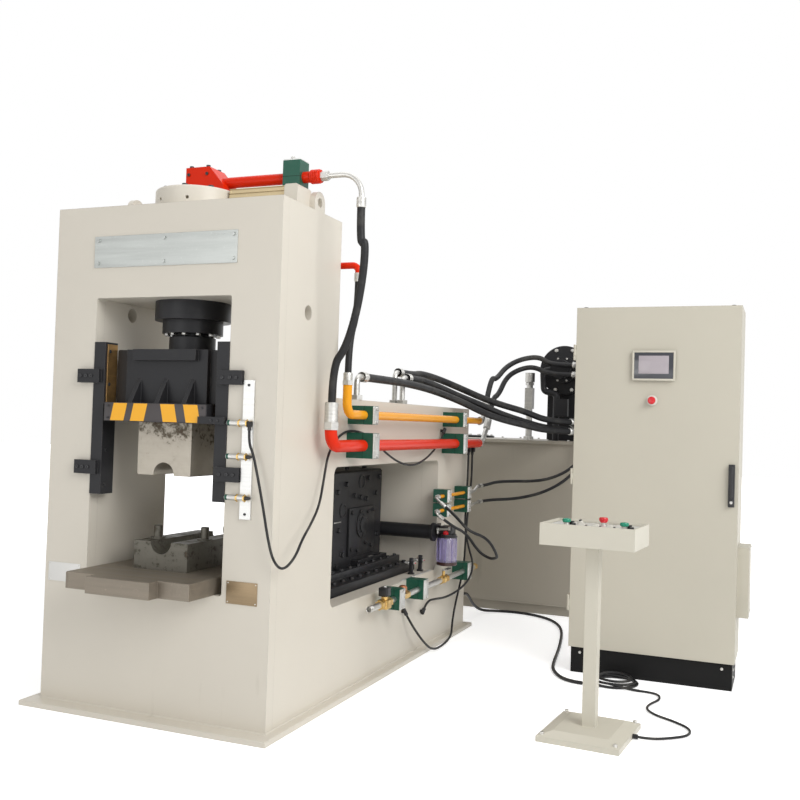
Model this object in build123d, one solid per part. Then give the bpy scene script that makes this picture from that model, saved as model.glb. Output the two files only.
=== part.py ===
from build123d import *
import math
import os

# Hydraulic upsetting press with its power unit, control cabinet and button pedestal.
# Millimetres. Origin on the floor under the axis of the vertical ram.
# +X is the right side seen from the front, +Y is the rear, +Z is up.

# Driving dimensions: press frame
half_width = 624.0
front_y = -256.0
tall_rear_y = 345.0
rear_y = 2487.0
tall_top_z = 2400.0
low_top_z = 1520.0
floor_plate = 25.0
front_lip = 89.0
side_lip = 50.0
rear_lip = 48.0
front_plate_t = 60.0
side_plate_t = 110.0
opening_half = 376.0
opening_bottom_z = 604.0
opening_top_z = 1958.0
window_front_y = 350.0
window_rear_y = 1880.0
window_bottom_z = 475.0
window_top_z = 1175.0
window_corner = 40.0
pin_hole_y = 15.0
pin_hole_z = 1906.0
pin_hole_r = 35.0
lug_y = 98.0
lug_hole_z = 2442.0
lug_hole_r = 22.0
lug_r = 52.0
lug_t = 30.0
left_lug_x = 445.0
left_lug_rise = 22.0
wall_t = 100.0
roof_t = 60.0
back_plate_t = 40.0

end_block_front_y = -76.0
end_block_rear_y = 60.0
end_block_w = 70.0
end_block_h = 98.0
sign_half = 398.0
sign_bottom_z = 2105.0
sign_top_z = 2255.0
sign_t = 4.0
stud_r = 9.0

# Driving dimensions: vertical ram and slide
ram_r = 85.0
gland_r = 183.0
gland_top_z = 1958.0
gland_mid_z = 1867.0
gland_step_r = 146.0
gland_bottom_z = 1804.0
slide_ring_r = 112.0
slide_ring_top_z = 1790.0
slide_top_z = 1716.0
slide_foot_bottom_z = 1373.0
slide_foot_top_z = 1461.0
slide_foot_half = 285.0
slide_front_y = -287.0
slide_face_y = -205.0
slide_rear_y = 150.0
slide_half = 227.0
slide_cheek_half = 300.0
upright_t = 50.0
gusset_t = 22.0
cap_ring_r = 202.0
cap_ring_h = 100.0
running_gap = 0.3
rail_inner = 312.0
rail_depth = 90.0
rail_bottom_z = 1023.0
rail_top_z = 1748.0
bronze_t = 5.0
bracket_inner = 330.0
bracket_outer = 456.0
bracket_h = 65.0
bracket_t = 20.0
upper_bracket_z = 1585.0
lower_bracket_z = 1150.0
strip_x = 460.0
strip_w = 56.0
strip_t = 10.0
strip_bottom_z = 955.0
strip_top_z = 1575.0
sensor_zs = (1382.0, 1233.0, 1051.0)
sensor_tip_x = 398.0
sensor_stand = 30.0
sensor_r = 12.0

# Driving dimensions: dies and table
die_half = 149.0
die_front_y = -198.0
die_rear_y = 330.0
upper_die_rear_y = 150.0
post_r = 20.0
post_h = 62.0
post_collar_r = 36.0
post_collar_h = 6.0
post_left = (-111.0, -67.0)
post_right = (118.0, -10.0)
post_clearance = 6.0
upper_die_bottom_z = 1124.0
groove_r = 57.0
table_top_z = 680.0
table_half = 334.0
table_front_y = -446.0
table_rear_y = tall_rear_y
tongue_half = 171.0
tongue_front_y = -509.0
lower_die_top_z = 812.0

# Driving dimensions: horizontal ram
upset_axis_z = 812.0
push_r = 70.0
push_flange_r = 220.0
push_flange_front_y = 1850.0
push_body_r = 190.0
push_body_rear_y = rear_y - back_plate_t - 27
block_front_y = 1050.0
block_rear_y = 1740.0
block_half = 290.0
block_bottom_z = 512.0
block_top_z = 1112.0
way_h = 47.0
way_x = 200.0
way_half = 45.0
punch_r = 54.0
punch_front_y = 420.0
sleeve_y = 1800.0
sleeve_z = 722.0
sleeve_r = 45.0
sleeve_start_x = 80.0
sleeve_collar_r = 58.0
cam_bar_front_y = 1300.0
cam_bar_bottom_z = 530.0
cam_bar_h = 45.0
cam_bar_w = 50.0
probe_ys = (1595.0, 1750.0)

# Driving dimensions: pipework on the right side
pipe_offset = 90.0
yellow_r = 22.5
yellow_z = 1440.0
yellow_rise_y = 281.0
yellow_top_z = 1583.0
yellow_bend = 60.0
red_r = 30.0
red_z = 1285.0
red_rise_y = 112.0
red_top_z = 1362.0
red_bend = 75.0
pipe_end_y = 2440.0
front_clamp_y = 520.0
rear_clamp_y = 1975.0
crown_pipe_y = 50.0
crown_pipe_z = 2556.0
crown_pipe_r = 27.0
crown_pipe_end_x = 652.0
crown_elbow_x = 862.0
crown_elbow_end_z = 2440.0
channel_start_x = 212.0
channel_front_y = -50.0
channel_rear_y = 40.0
channel_h = 98.0
small_pipe_x = 690.0
small_pipe_r = 11.0
small_pipe_zs = (952.0, 862.0)
small_pipe_front_y = 1720.0
small_pipe_rear_y = 2330.0
small_clamp_ys = (1840.0, 2255.0)
water_x = 700.0
water_z = 425.0
water_r = 17.0
water_front_y = 659.0
water_rear_y = 2513.0
water_clamp_ys = (1042.0, 1417.0, 2257.0)
bowl_x = 709.0
bowl_y = 1855.0
bowl_r = 66.0
bowl_bottom_z = 512.0
bowl_top_z = 690.0

# Driving dimensions: hydraulic power unit
tank_left_x = -450.0
tank_right_x = 1350.0
tank_front_y = 3200.0
tank_rear_y = 4250.0
tank_bottom_z = 70.0
tank_top_z = 1285.0
tank_lid_t = 25.0
tank_lid_lip = 25.0
motor_r = 190.0
motor_x = 1080.0
motor_y = 3700.0
motor_z = 1860.0
motor_len = 520.0
saddle_half = 150.0
stack_left_x = 1240.0
stack_w = 110.0
stack_front_y = 3170.0
stack_rear_y = 3330.0
stack_top_z = 1960.0
# Depth, height and radius of each port on the left face of the stack.
stack_ports = (
    (3210.0, 1812.0, 24.0),
    (3230.0, 1885.0, 24.0),
)
filter_x = 798.0
filter_y = 3490.0

# Driving dimensions: control cabinet
cab_left_x = 1556.0
cab_width = 910.0
cab_front_y = 1598.0
cab_depth = 400.0
cab_top_z = 2114.0
plinth_h = 145.0
sheet_t = 3.0
door_t = 25.0
door_gap = 2.0
screen_x = 2001.0
screen_z = 1775.0
screen_half_w = 119.0
screen_half_h = 85.0
stop_x = 1996.0
stop_z = 1578.0
handle_x = 2414.0
handle_bottom_z = 1003.0
handle_top_z = 1236.0
hinge_x = cab_left_x - 7
hinge_y = cab_front_y - 6
hinge_pin_r = 4.0
knuckle_r = 7.0
hinge_zs = (400.0, 1130.0, 1850.0)
louvre_low_z = 330.0
louvre_pitch = 18.0
louvre_count = 11
side_box_t = 62.0
side_box_bottom_z = 390.0
side_box_top_z = 777.0

# Driving dimensions: button pedestal
ped_x = 1895.0
ped_y = 500.0
ped_turn = -4.0
ped_base_w = 375.0
ped_base_d = 440.0
ped_base_h = 45.0
ped_post = 60.0
ped_box_w = 435.0
ped_box_d = 300.0
ped_box_h = 100.0
ped_box_z = 870.0
ped_rim = 8.0
ped_recess = 14.0
# Local x, local y, radius and height of each button head on the pedestal.
ped_heads = (
    (-117.0, -60.0, 20.0, 34.0),
    (-45.0, -60.0, 14.0, 20.0),
    (20.0, -60.0, 14.0, 20.0),
    (85.0, -60.0, 14.0, 20.0),
    (150.0, -60.0, 20.0, 34.0),
    (-80.0, 40.0, 14.0, 24.0),
    (25.0, 60.0, 20.0, 40.0),
)

# Routes of the hoses and cables: diameter, start, start direction, points between, end, end direction.
up = (0, 0, 1)
down = (0, 0, -1)
rear = (0, 1, 0)
front = (0, -1, 0)
right = (1, 0, 0)
left = (-1, 0, 0)
pipe_x = half_width + pipe_offset
rise = (0, 0.5, 0.866)
aside = (0.8, 0, -0.6)
under = (0.5, 0.65, -0.57)
loop_tip = (727.5, 1706.8, 819.2)
slant = (-0.6, -0.8, 0)
port_a = (1200, 3130, 1385)
port_b = (1200, 3165, 1455)
port_c = (1200, 3220, 1397)
stub_x = 700.0
stub_y = 395.0
stub_z = 2190.0
stub_end_z = 2110.0
tray_x = half_width + 28.0
floor_rest = 12.0
gland_x = strip_x + strip_w - 7.0
coil_x = 1845.0
coil_y = 1468.0
coil_r = 138.0
coil_inner_r = 82.0
coil_mid_r = 118.0
coil_h = 52.0
ped_gland_x = ped_base_w / 2 + 24
ped_gland_y = 45.0
ped_out = (math.cos(math.radians(ped_turn)), math.sin(math.radians(ped_turn)))
ped_gland = (
    ped_x + ped_gland_x * ped_out[0] - ped_gland_y * ped_out[1],
    ped_y + ped_gland_x * ped_out[1] + ped_gland_y * ped_out[0],
)
routes = {
    "riser_hose": (
        38, (crown_elbow_x, crown_pipe_y, 2400), down,
        [(888, 52, 2250), (880, 62, 2100), (840, 80, 1900), (780, 96, 1740)],
        (pipe_x, red_rise_y, 1488), up),
    "yellow_riser_hose": (
        34, (stub_x, stub_y, stub_end_z), down,
        [],
        (pipe_x, yellow_rise_y, 1640), up),
    "roof_hose_a": (
        45, (600, 743, 1645), rear,
        [(600, 1316, 1645), (606, 1760, 1624), (677, 2120, 1567), (782, 2330, 1493), (863, 2520, 1452), (955, 2740, 1422)],
        port_a, slant),
    "roof_hose_b": (
        45, (470, 1569, 1718), rear,
        [(472, 1900, 1734), (510, 2120, 1715), (620, 2270, 1660), (750, 2430, 1592), (850, 2640, 1550), (940, 2810, 1520)],
        port_b, slant),
    "roof_hose_c": (
        45, (535, 1551, 1683), rear,
        [(538, 1769, 1682), (575, 2010, 1650), (649, 2170, 1601), (765, 2350, 1545), (828, 2540, 1498), (915, 2770, 1455)],
        port_c, slant),
    "arch_hose_d": (
        38, (720, 2640, 1450), rise,
        [(718, 2890, 1640), (725, 3060, 1780), (790, 3190, 1850), (900, 3215, 1872)],
        (1200, 3210, 1812), left),
    "arch_hose_e": (
        38, (718, 2600, 1600), rise,
        [(720, 2800, 1745), (735, 3020, 1860), (810, 3190, 1930), (940, 3225, 1948)],
        (1200, 3230, 1885), left),
    "feed_hose_upper": (
        22, (small_pipe_x, 2620, 980), rear,
        [(745, 2800, 1003), (850, 2880, 1009), (960, 2920, 1012), (1070, 2950, 1026), (1180, 2990, 1070), (1270, 3040, 1140)],
        (1310, 3112, 1340), down),
    "feed_hose_lower": (
        22, (small_pipe_x, 2620, 868), rear,
        [(735, 2770, 874), (850, 2860, 880), (960, 2900, 902), (1070, 2930, 940), (1175, 2970, 1000), (1260, 3020, 1080), (1320, 3080, 1180)],
        (1338, 3112, 1340), down),
    "loop_hose": (
        18, (760, 1650, 900), aside,
        [(919, 1629, 763), (1023, 1703, 721), (1052, 1840, 593), (1004, 1924, 569), (962, 1951, 563), (881, 1978, 595), (808, 1932, 717)],
        loop_tip, under),
    "sensor_cable": (
        12, (gland_x, front_y - sensor_stand, 1352), down,
        [(535, -290, 1250), (570, -295, 1130), (600, -297, 1010), (628, -298, 880), (655, -292, 785), (690, -268, 745),
         (716, -210, 795), (715, -140, 875), (700, -40, 925), (678, 90, 1005), (662, 160, 1130), (tray_x, 220, 1260),
         (tray_x, 360, 1350), (tray_x, 520, 1362), (tray_x + 8, 700, 1330), (680, 850, 1245), (690, 1050, 1180),
         (690, 1270, 1158), (682, 1500, 1195), (665, 1720, 1262)],
        (tray_x - 4, 1890, 1350), (0, -0.7, -0.714)),
    "rear_cable_front": (
        14, (660, 2391, 1205), down,
        [(660, 2386, 1008), (664, 2350, 840), (674, 2318, 700), (714, 2284, 580), (765, 2244, 480), (766, 2180, 388),
         (722, 2084, 320), (676, 1950, 288), (655, 1800, 300)],
        (642, 1650, 262), (0, 0.8, 0.6)),
    "rear_cable_floor": (
        14, (672, 2440, 1205), down,
        [(672, 2440, 1030), (668, 2400, 850), (664, 2372, 660), (660, 2366, 450), (655, 2310, 330), (650, 2230, 200),
         (662, 2140, 96), (700, 2020, floor_rest + 20), (712, 1850, floor_rest), (712, 1640, floor_rest + 2), (700, 1500, 90)],
        (650, 1330, 280), (0.35, 0.35, -0.87)),
    "floor_cable": (
        20, (600, 2507, 215), rear,
        [(600, 2680, 180), (585, 2850, 84), (600, 3000, 22), (690, 3100, 12), (810, 3130, 11), (930, 3110, 12), (1040, 3060, 12), (1150, 2960, 12),
         (1240, 2800, 11), (1300, 2600, 11), (1350, 2350, 11), (1400, 2050, 11), (1440, 1750, 11), (1480, 1540, 11)],
        (coil_x - 155, coil_y - coil_mid_r, 11), left),
    "pedestal_cable": (
        12, (coil_x + 155, coil_y - coil_mid_r, 8), right,
        [(2108, 1318, 8), (2120, 1225, 8), (2085, 1130, 8), (2075, 1030, 8), (2130, 940, 8), (2230, 875, 8), (2315, 790, 8), (2320, 680, 8), (2240, 590, 10)],
        (ped_gland[0], ped_gland[1], 14), (ped_out[0], ped_out[1], 0)),
}

cord_run = 6.0
least_bend = 5.1
side_face_x = half_width
inner_x = half_width - side_plate_t
frame_front_inner = front_y + front_plate_t


def block(x0, x1, y0, y1, z0, z1):
    # Box given by its limits.
    size = Box(x1 - x0, y1 - y0, z1 - z0)
    return Pos((x0 + x1) / 2, (y0 + y1) / 2, (z0 + z1) / 2) * size


def upright(x, y, z0, z1, r):
    # Vertical cylinder from z0 to z1.
    return Pos(x, y, (z0 + z1) / 2) * Cylinder(r, z1 - z0)


def along_y(x, z, y0, y1, r):
    # Cylinder lying along Y.
    return Pos(x, (y0 + y1) / 2, z) * Rot(90, 0, 0) * Cylinder(r, y1 - y0)


def along_x(y, z, x0, x1, r):
    # Cylinder lying along X.
    return Pos((x0 + x1) / 2, y, z) * Rot(0, 90, 0) * Cylinder(r, x1 - x0)


def side_profile(points, x0, x1):
    # Prism along X from a closed outline of (y, z) points.
    face = make_face(Polyline(*[(0, y, z) for y, z in points], close=True))
    solid = extrude(face, amount=x1 - x0, dir=(1, 0, 0))
    return Pos(x0, 0, 0) * solid


def front_profile(points, y0, y1):
    # Prism along Y from a closed outline of (x, z) points.
    face = make_face(Polyline(*[(x, 0, z) for x, z in points], close=True))
    solid = extrude(face, amount=y1 - y0, dir=(0, 1, 0))
    return Pos(0, y0, 0) * solid


def plan_profile(points, z0, z1):
    # Prism along Z from a closed outline of (x, y) points.
    face = make_face(Polyline(*[(x, y, 0) for x, y in points], close=True))
    solid = extrude(face, amount=z1 - z0, dir=(0, 0, 1))
    return Pos(0, 0, z0) * solid


def mirrored(shape):
    # The same piece on the other side of the press.
    return mirror(shape, about=Plane.YZ)


def save(shape, name):
    export_step(shape, "parts/" + name + ".step")


def base_plate():
    x = half_width + side_lip
    y0 = front_y - front_lip
    y1 = rear_y + rear_lip
    plate = block(-x, x, y0, y1, 0, floor_plate)
    return chamfer(plate.edges().group_by(Axis.Z)[-1], 4)


def side_plate():
    # Tall at the front, low at the rear, with the column, long window, lug and pin hole.
    outline = [
        (frame_front_inner, floor_plate),
        (rear_y, floor_plate),
        (rear_y, low_top_z),
        (tall_rear_y, low_top_z),
        (tall_rear_y, tall_top_z),
        (frame_front_inner, tall_top_z),
    ]
    plate = side_profile(outline, inner_x, side_face_x)
    window_y = (window_front_y + window_rear_y) / 2
    window_z = (window_bottom_z + window_top_z) / 2
    window = Box(side_plate_t * 3, window_rear_y - window_front_y, window_top_z - window_bottom_z)
    window = fillet(window.edges().filter_by(Axis.X), window_corner)
    plate -= Pos(side_face_x, window_y, window_z) * window
    plate += block(opening_half, inner_x, frame_front_inner, tall_rear_y, floor_plate, opening_top_z)
    plate -= along_x(pin_hole_y, pin_hole_z, opening_half - 5, side_face_x + 5, pin_hole_r)
    return plate


def lifting_lug(x0, hole_z):
    # Upright eye on top of the frame.
    x1 = x0 + lug_t
    eye = along_x(lug_y, hole_z, x0, x1, lug_r)
    eye += block(x0, x1, lug_y - lug_r, lug_y + lug_r, tall_top_z, hole_z)
    eye = eye & block(x0, x1, lug_y - lug_r, lug_y + lug_r, tall_top_z, hole_z + lug_r)
    eye -= along_x(lug_y, hole_z, x0 - 5, x1 + 5, lug_hole_r)
    return eye


def front_plate():
    plate = block(-half_width, half_width, front_y, frame_front_inner, floor_plate, tall_top_z)
    mouth = Box(opening_half * 2, front_plate_t * 3, opening_top_z - opening_bottom_z)
    mouth = fillet(mouth.edges().filter_by(Axis.Y), 12)
    plate -= Pos(0, front_y, (opening_top_z + opening_bottom_z) / 2) * mouth
    return plate


def crown():
    # Cross head between the side plates, bored for the vertical cylinder.
    head = block(-inner_x, inner_x, frame_front_inner, tall_rear_y, opening_top_z, tall_top_z)
    head -= upright(0, 0, opening_top_z - 5, tall_top_z + 5, gland_step_r + running_gap)
    return head + lifting_lug(-left_lug_x - lug_t / 2, lug_hole_z + left_lug_rise)


def bed():
    # Support under the table, and the low bed behind it with the flat ways for the horizontal block.
    body = block(-opening_half, opening_half, frame_front_inner, tall_rear_y, floor_plate, opening_bottom_z)
    z0 = block_bottom_z - way_h
    body += block(-inner_x, inner_x, tall_rear_y, window_rear_y, floor_plate, z0)
    for x in (-way_x, way_x):
        body += block(x - way_half, x + way_half, tall_rear_y, window_rear_y, z0, block_bottom_z)
    return body


def rear_housing():
    # Cross wall that holds the horizontal cylinder, with the roof and back plate.
    y1 = window_rear_y + wall_t
    wall = block(-inner_x, inner_x, window_rear_y, y1, floor_plate, low_top_z - roof_t)
    wall -= along_y(0, upset_axis_z, window_rear_y - 5, y1 + 5, push_body_r + running_gap)
    wall += block(-inner_x, inner_x, tall_rear_y, rear_y, low_top_z - roof_t, low_top_z)
    wall += block(-inner_x, inner_x, rear_y - back_plate_t, rear_y, floor_plate, low_top_z - roof_t)
    return wall


def end_block():
    # Block on the crown beside the channel.
    x1 = side_face_x - lug_t
    body = block(x1 - end_block_w, x1, end_block_front_y, end_block_rear_y, tall_top_z, tall_top_z + end_block_h)
    return chamfer(body.edges().filter_by(Axis.Y).group_by(Axis.Z)[-1], 8)


def clamp_cylinder():
    # Cylinder barrel in the crown with the gland flange hanging under it.
    outline = [
        (ram_r + running_gap, gland_bottom_z),
        (gland_step_r, gland_bottom_z),
        (gland_step_r, gland_mid_z),
        (gland_r, gland_mid_z),
        (gland_r, gland_top_z),
        (gland_step_r, gland_top_z),
        (gland_step_r, tall_top_z),
        (0, tall_top_z),
        (0, tall_top_z - 40),
        (ram_r + running_gap, tall_top_z - 40),
    ]
    face = make_face(Polyline(*[(r, 0, z) for r, z in outline], close=True))
    return revolve(face, Axis.Z, 360)


def cap_ring():
    ring = upright(0, 0, tall_top_z, tall_top_z + cap_ring_h, cap_ring_r)
    ring = fillet(ring.edges().group_by(Axis.Z)[-1], 14)
    for turn in range(0, 360, 45):
        hole = Rot(0, 0, turn + 20) * along_y(0, tall_top_z + 38, -cap_ring_r - 5, -cap_ring_r + 25, 8)
        ring -= hole
    return ring


def clamp_ram():
    # Rod with its ring, fixed to the slide.
    rod = upright(0, 0, slide_top_z, tall_top_z - 60, ram_r)
    ring = upright(0, 0, slide_top_z, slide_ring_top_z, slide_ring_r)
    ring = chamfer(ring.edges().group_by(Axis.Z)[-1], 3)
    return rod + ring


def slide():
    # Foot, upright front plate, side cheeks, back plate, top plate, ribs, bar and trigger arm.
    x = slide_foot_half
    z0 = slide_foot_top_z
    z1 = slide_top_z
    body = block(-x, x, slide_front_y, slide_rear_y, slide_foot_bottom_z, slide_foot_top_z)
    body += block(-slide_half, slide_half, slide_face_y, slide_face_y + upright_t, z0, z1)
    body += block(-slide_half, slide_half, slide_rear_y - upright_t, slide_rear_y, z0, z1)
    body += block(-slide_half, slide_half, slide_face_y, slide_rear_y, z1 - 45, z1)
    for side in (-1, 1):
        x0 = side * slide_half
        x1 = side * (slide_half - 40)
        body += block(min(x0, x1), max(x0, x1), slide_face_y, slide_rear_y, z0, z1)
    body += slide_cheek()
    body += mirrored(slide_cheek())
    for x in (-150, 0, 150):
        body += slide_gusset(x)
    body += block(-176, 176, slide_face_y - 26, slide_face_y, slide_top_z - 52, slide_top_z)
    y0 = slide_front_y - 14
    body += block(246, 384, y0, slide_front_y, slide_foot_bottom_z, slide_foot_bottom_z + 33)
    return body


def slide_cheek():
    # Guide shoe that runs between the rails.
    shoe = block(slide_half, slide_cheek_half, -180, -90, slide_foot_top_z, slide_top_z)
    return chamfer(shoe.edges().filter_by(Axis.X), 4)


def slide_gusset(x):
    # Triangular rib between the foot and the upright plate.
    outline = [
        (slide_face_y, slide_foot_top_z),
        (slide_front_y + 12, slide_foot_top_z),
        (slide_face_y, slide_foot_top_z + 118),
    ]
    return side_profile(outline, x - gusset_t / 2, x + gusset_t / 2)


def upper_die():
    # Die with the arched notch along it and the holes for the guide posts.
    z0 = upper_die_bottom_z
    body = block(-die_half, die_half, die_front_y, upper_die_rear_y, z0, slide_foot_bottom_z)
    body = chamfer(body.edges().filter_by(Axis.Y).group_by(Axis.Z)[0], 5)
    y0 = die_front_y - 5
    y1 = upper_die_rear_y + 5
    body -= along_y(0, z0 + 4, y0, y1, groove_r)
    body -= block(-groove_r, groove_r, y0, y1, z0 - 5, z0 + 4)
    for x, y in (post_left, post_right):
        body -= upright(x, y, z0 - 5, z0 + post_h + post_clearance, post_r + post_clearance)
    return body


def lower_die():
    body = block(-die_half, die_half, die_front_y, die_rear_y, table_top_z, lower_die_top_z)
    body -= along_y(0, lower_die_top_z, die_front_y - 5, die_rear_y + 5, groove_r)
    z0 = lower_die_top_z
    for x, y in (post_left, post_right):
        post = upright(x, y, z0, z0 + post_h, post_r)
        body += chamfer(post.edges().group_by(Axis.Z)[-1], 3)
        body += upright(x, y, z0, z0 + post_collar_h, post_collar_r)
    return body


def table():
    # Bolster plate with a narrower tongue in front.
    outline = [
        (-tongue_half, tongue_front_y),
        (tongue_half, tongue_front_y),
        (tongue_half, table_front_y),
        (table_half, table_front_y),
        (table_half, table_rear_y),
        (-table_half, table_rear_y),
        (-table_half, table_front_y),
        (-tongue_half, table_front_y),
    ]
    plate = plan_profile(outline, opening_bottom_z, table_top_z)
    return chamfer(plate.edges().group_by(Axis.Z)[-1], 3)


def guide_rail():
    # Upright rail on the inside of the opening with its two brackets on the front plate.
    y0 = front_y - 4
    rail = block(rail_inner, opening_half, y0, y0 + rail_depth, rail_bottom_z, rail_top_z)
    h = bracket_h / 2
    for z in (upper_bracket_z, lower_bracket_z):
        rail += block(bracket_inner, bracket_outer, y0 - bracket_t, y0, z - h, z + h)
        rail += block(opening_half + 4, bracket_outer, y0, front_y, z - h, z + h)
    return rail


def bronze_strip():
    y0 = front_y + 10
    x0 = rail_inner - bronze_t
    return block(x0, rail_inner, y0, y0 + 70, slide_foot_bottom_z, rail_top_z - 10)


def sensor_strip():
    # Strip on the front plate with three proximity sensors on feet.
    z0 = strip_bottom_z
    strip = block(strip_x, strip_x + strip_w, front_y - strip_t, front_y, z0, strip_top_z)
    for z in sensor_zs:
        strip += along_x(front_y - sensor_stand, z, sensor_tip_x, strip_x + strip_w - 16, sensor_r)
        foot_x = strip_x + 10
        strip += block(foot_x, foot_x + 24, front_y - sensor_stand, front_y - strip_t, z - 10, z + 10)
    return strip


def upset_cylinder():
    # Horizontal cylinder with its round front flange.
    rod_r = push_r + running_gap
    y0 = push_flange_front_y
    outline = [
        (rod_r, y0),
        (push_flange_r - 12, y0),
        (push_flange_r, y0 + 12),
        (push_flange_r, window_rear_y),
        (push_body_r, window_rear_y),
        (push_body_r, push_body_rear_y),
        (0, push_body_rear_y),
        (0, push_body_rear_y - 30),
        (rod_r, push_body_rear_y - 30),
    ]
    face = make_face(Polyline(*[(r, y, 0) for r, y in outline], close=True))
    return Pos(0, 0, upset_axis_z) * revolve(face, Axis.Y, 360)


def upset_block():
    # Sliding block with the rod that drives it.
    body = block(-block_half, block_half, block_front_y, block_rear_y, block_bottom_z, block_top_z)
    body = chamfer(body.edges().filter_by(Axis.Y), 12)
    body += along_y(0, upset_axis_z, block_rear_y, push_body_rear_y - 45, push_r)
    z0 = cam_bar_bottom_z
    bar = block(block_half, block_half + cam_bar_w, cam_bar_front_y, block_rear_y, z0, z0 + cam_bar_h)
    y0 = block_rear_y - 160
    bar -= block(block_half + 14, block_half + cam_bar_w - 14, y0, y0 + 110, z0 - 5, z0 + cam_bar_h + 5)
    return body + bar


def punch():
    holder = along_y(0, upset_axis_z, block_front_y - 90, block_front_y, 110)
    nose = along_y(0, upset_axis_z, punch_front_y, block_front_y - 90, punch_r)
    return holder + nose


def cross_sleeve():
    # Black sleeve from the cylinder flange to the side plate, at the rear of the window.
    x1 = side_face_x + 10
    sleeve = along_x(sleeve_y, sleeve_z, sleeve_start_x, x1, sleeve_r)
    foot_z = sleeve_r - 5
    sleeve += block(sleeve_start_x, sleeve_start_x + 65, sleeve_y, push_flange_front_y, sleeve_z - foot_z, sleeve_z + foot_z)
    sleeve += along_x(sleeve_y, sleeve_z, side_face_x, x1 + 8, sleeve_collar_r)
    y1 = window_rear_y + 60
    sleeve += block(side_face_x, x1, sleeve_y, y1, sleeve_z - sleeve_r, sleeve_z + sleeve_r)
    return sleeve


def window_probes():
    # Two upright proximity sensors on the sill of the right window.
    probes = []
    x = side_face_x - side_plate_t / 2
    z0 = window_bottom_z
    for y in probe_ys:
        foot = block(x - 18, x + 18, y - 12, y + 12, z0, z0 + 12)
        stem = upright(x, y, z0, z0 + 100, 9)
        head = along_x(y, z0 + 70, x - 40, x + 24, 9)
        probes.append(foot + stem + head)
    return probes


def bent_pipe(points, r, bend):
    # Round pipe along a route of straight runs and bends.
    route = FilletPolyline(*points, radius=bend)
    start = Plane(route @ 0, z_dir=route % 0)
    return sweep(start * Circle(r), path=route)


def yellow_pipe():
    x = side_face_x + pipe_offset
    points = [(x, yellow_rise_y, yellow_top_z), (x, yellow_rise_y, yellow_z), (x, pipe_end_y, yellow_z)]
    return bent_pipe(points, yellow_r, yellow_bend)


def red_pipe():
    x = side_face_x + pipe_offset
    points = [(x, red_rise_y, red_top_z), (x, red_rise_y, red_z), (x, pipe_end_y, red_z)]
    stub_start = (side_face_x - side_plate_t / 2, tall_rear_y, stub_z)
    stub = [stub_start, (stub_start[0], stub_y, stub_z), (stub_x, stub_y, stub_z), (stub_x, stub_y, stub_end_z + 40)]
    return Compound(children=[bent_pipe(points, red_r, red_bend), bent_pipe(stub, 17, 35)])


def pipe_clamp(y, z, r, width, height):
    # Two-part block clamp round a pipe, seated on the side plate.
    x0 = side_face_x
    x1 = side_face_x + pipe_offset + r + 26
    body = block(x0, x1, y - width / 2, y + width / 2, z - height / 2, z + height / 2)
    body -= along_y(side_face_x + pipe_offset, z, y - width, y + width, r)
    return body


def small_clamp(x, y, z, r, width, height):
    # Block clamp round a small pipe, seated on the side plate.
    body = block(side_face_x, x + r + 16, y - width / 2, y + width / 2, z - height / 2, z + height / 2)
    return body - along_y(x, z, y - width, y + width, r)


def pipe_clamps():
    clamps = []
    for y in (front_clamp_y, rear_clamp_y):
        clamps.append(pipe_clamp(y, yellow_z, yellow_r, 70, 95))
        clamps.append(pipe_clamp(y, red_z, red_r, 80, 130))
    for y in small_clamp_ys:
        for z in small_pipe_zs:
            clamps.append(small_clamp(small_pipe_x, y, z, small_pipe_r, 75, 82))
    for y in water_clamp_ys:
        clamps.append(small_clamp(water_x, y, water_z, water_r, 80, 115))
    x1 = crown_pipe_end_x - 93
    z0 = tall_top_z + end_block_h
    crown_clamp = block(x1 - 91, x1, 5, 95, z0, z0 + 135)
    clamps.append(crown_clamp - along_x(crown_pipe_y, crown_pipe_z, x1 - 100, x1 + 10, crown_pipe_r))
    return Compound(children=clamps)


def crown_manifold():
    # Red block on the cap ring with its pipe to the right.
    z0 = tall_top_z + cap_ring_h
    outline = [(-67, z0), (150, z0), (150, z0 + 35), (67, z0 + 130), (-67, z0 + 130)]
    body = front_profile(outline, -10, 125)
    return body + along_x(crown_pipe_y, crown_pipe_z, 60, crown_pipe_end_x, crown_pipe_r)


def crown_channel():
    # Brass-coloured trunking on the crown with a ribbed front.
    x1 = side_face_x - lug_t - end_block_w
    z0 = tall_top_z
    body = block(channel_start_x, x1, channel_front_y, channel_rear_y, z0, z0 + channel_h)
    for rib_z in (z0 + 42, z0 + 70, z0 + 90):
        body -= block(channel_start_x - 5, x1 + 5, channel_front_y - 5, channel_front_y + 6, rib_z, rib_z + 6)
    return body


def hex_nut(point, direction, r, length):
    # Six-sided nut that starts at the point and runs along the direction.
    plane = Plane(origin=point, z_dir=direction)
    return extrude(plane * RegularPolygon(r, 6), amount=length)


def sleeve_to(point, direction, r, length):
    # Round sleeve that ends at the point.
    way = Vector(*direction).normalized()
    plane = Plane(origin=Vector(*point) - way * length, z_dir=way)
    return extrude(plane * Circle(r), amount=length)


def elbow(points, r, bend):
    return bent_pipe(points, r, bend)


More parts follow.
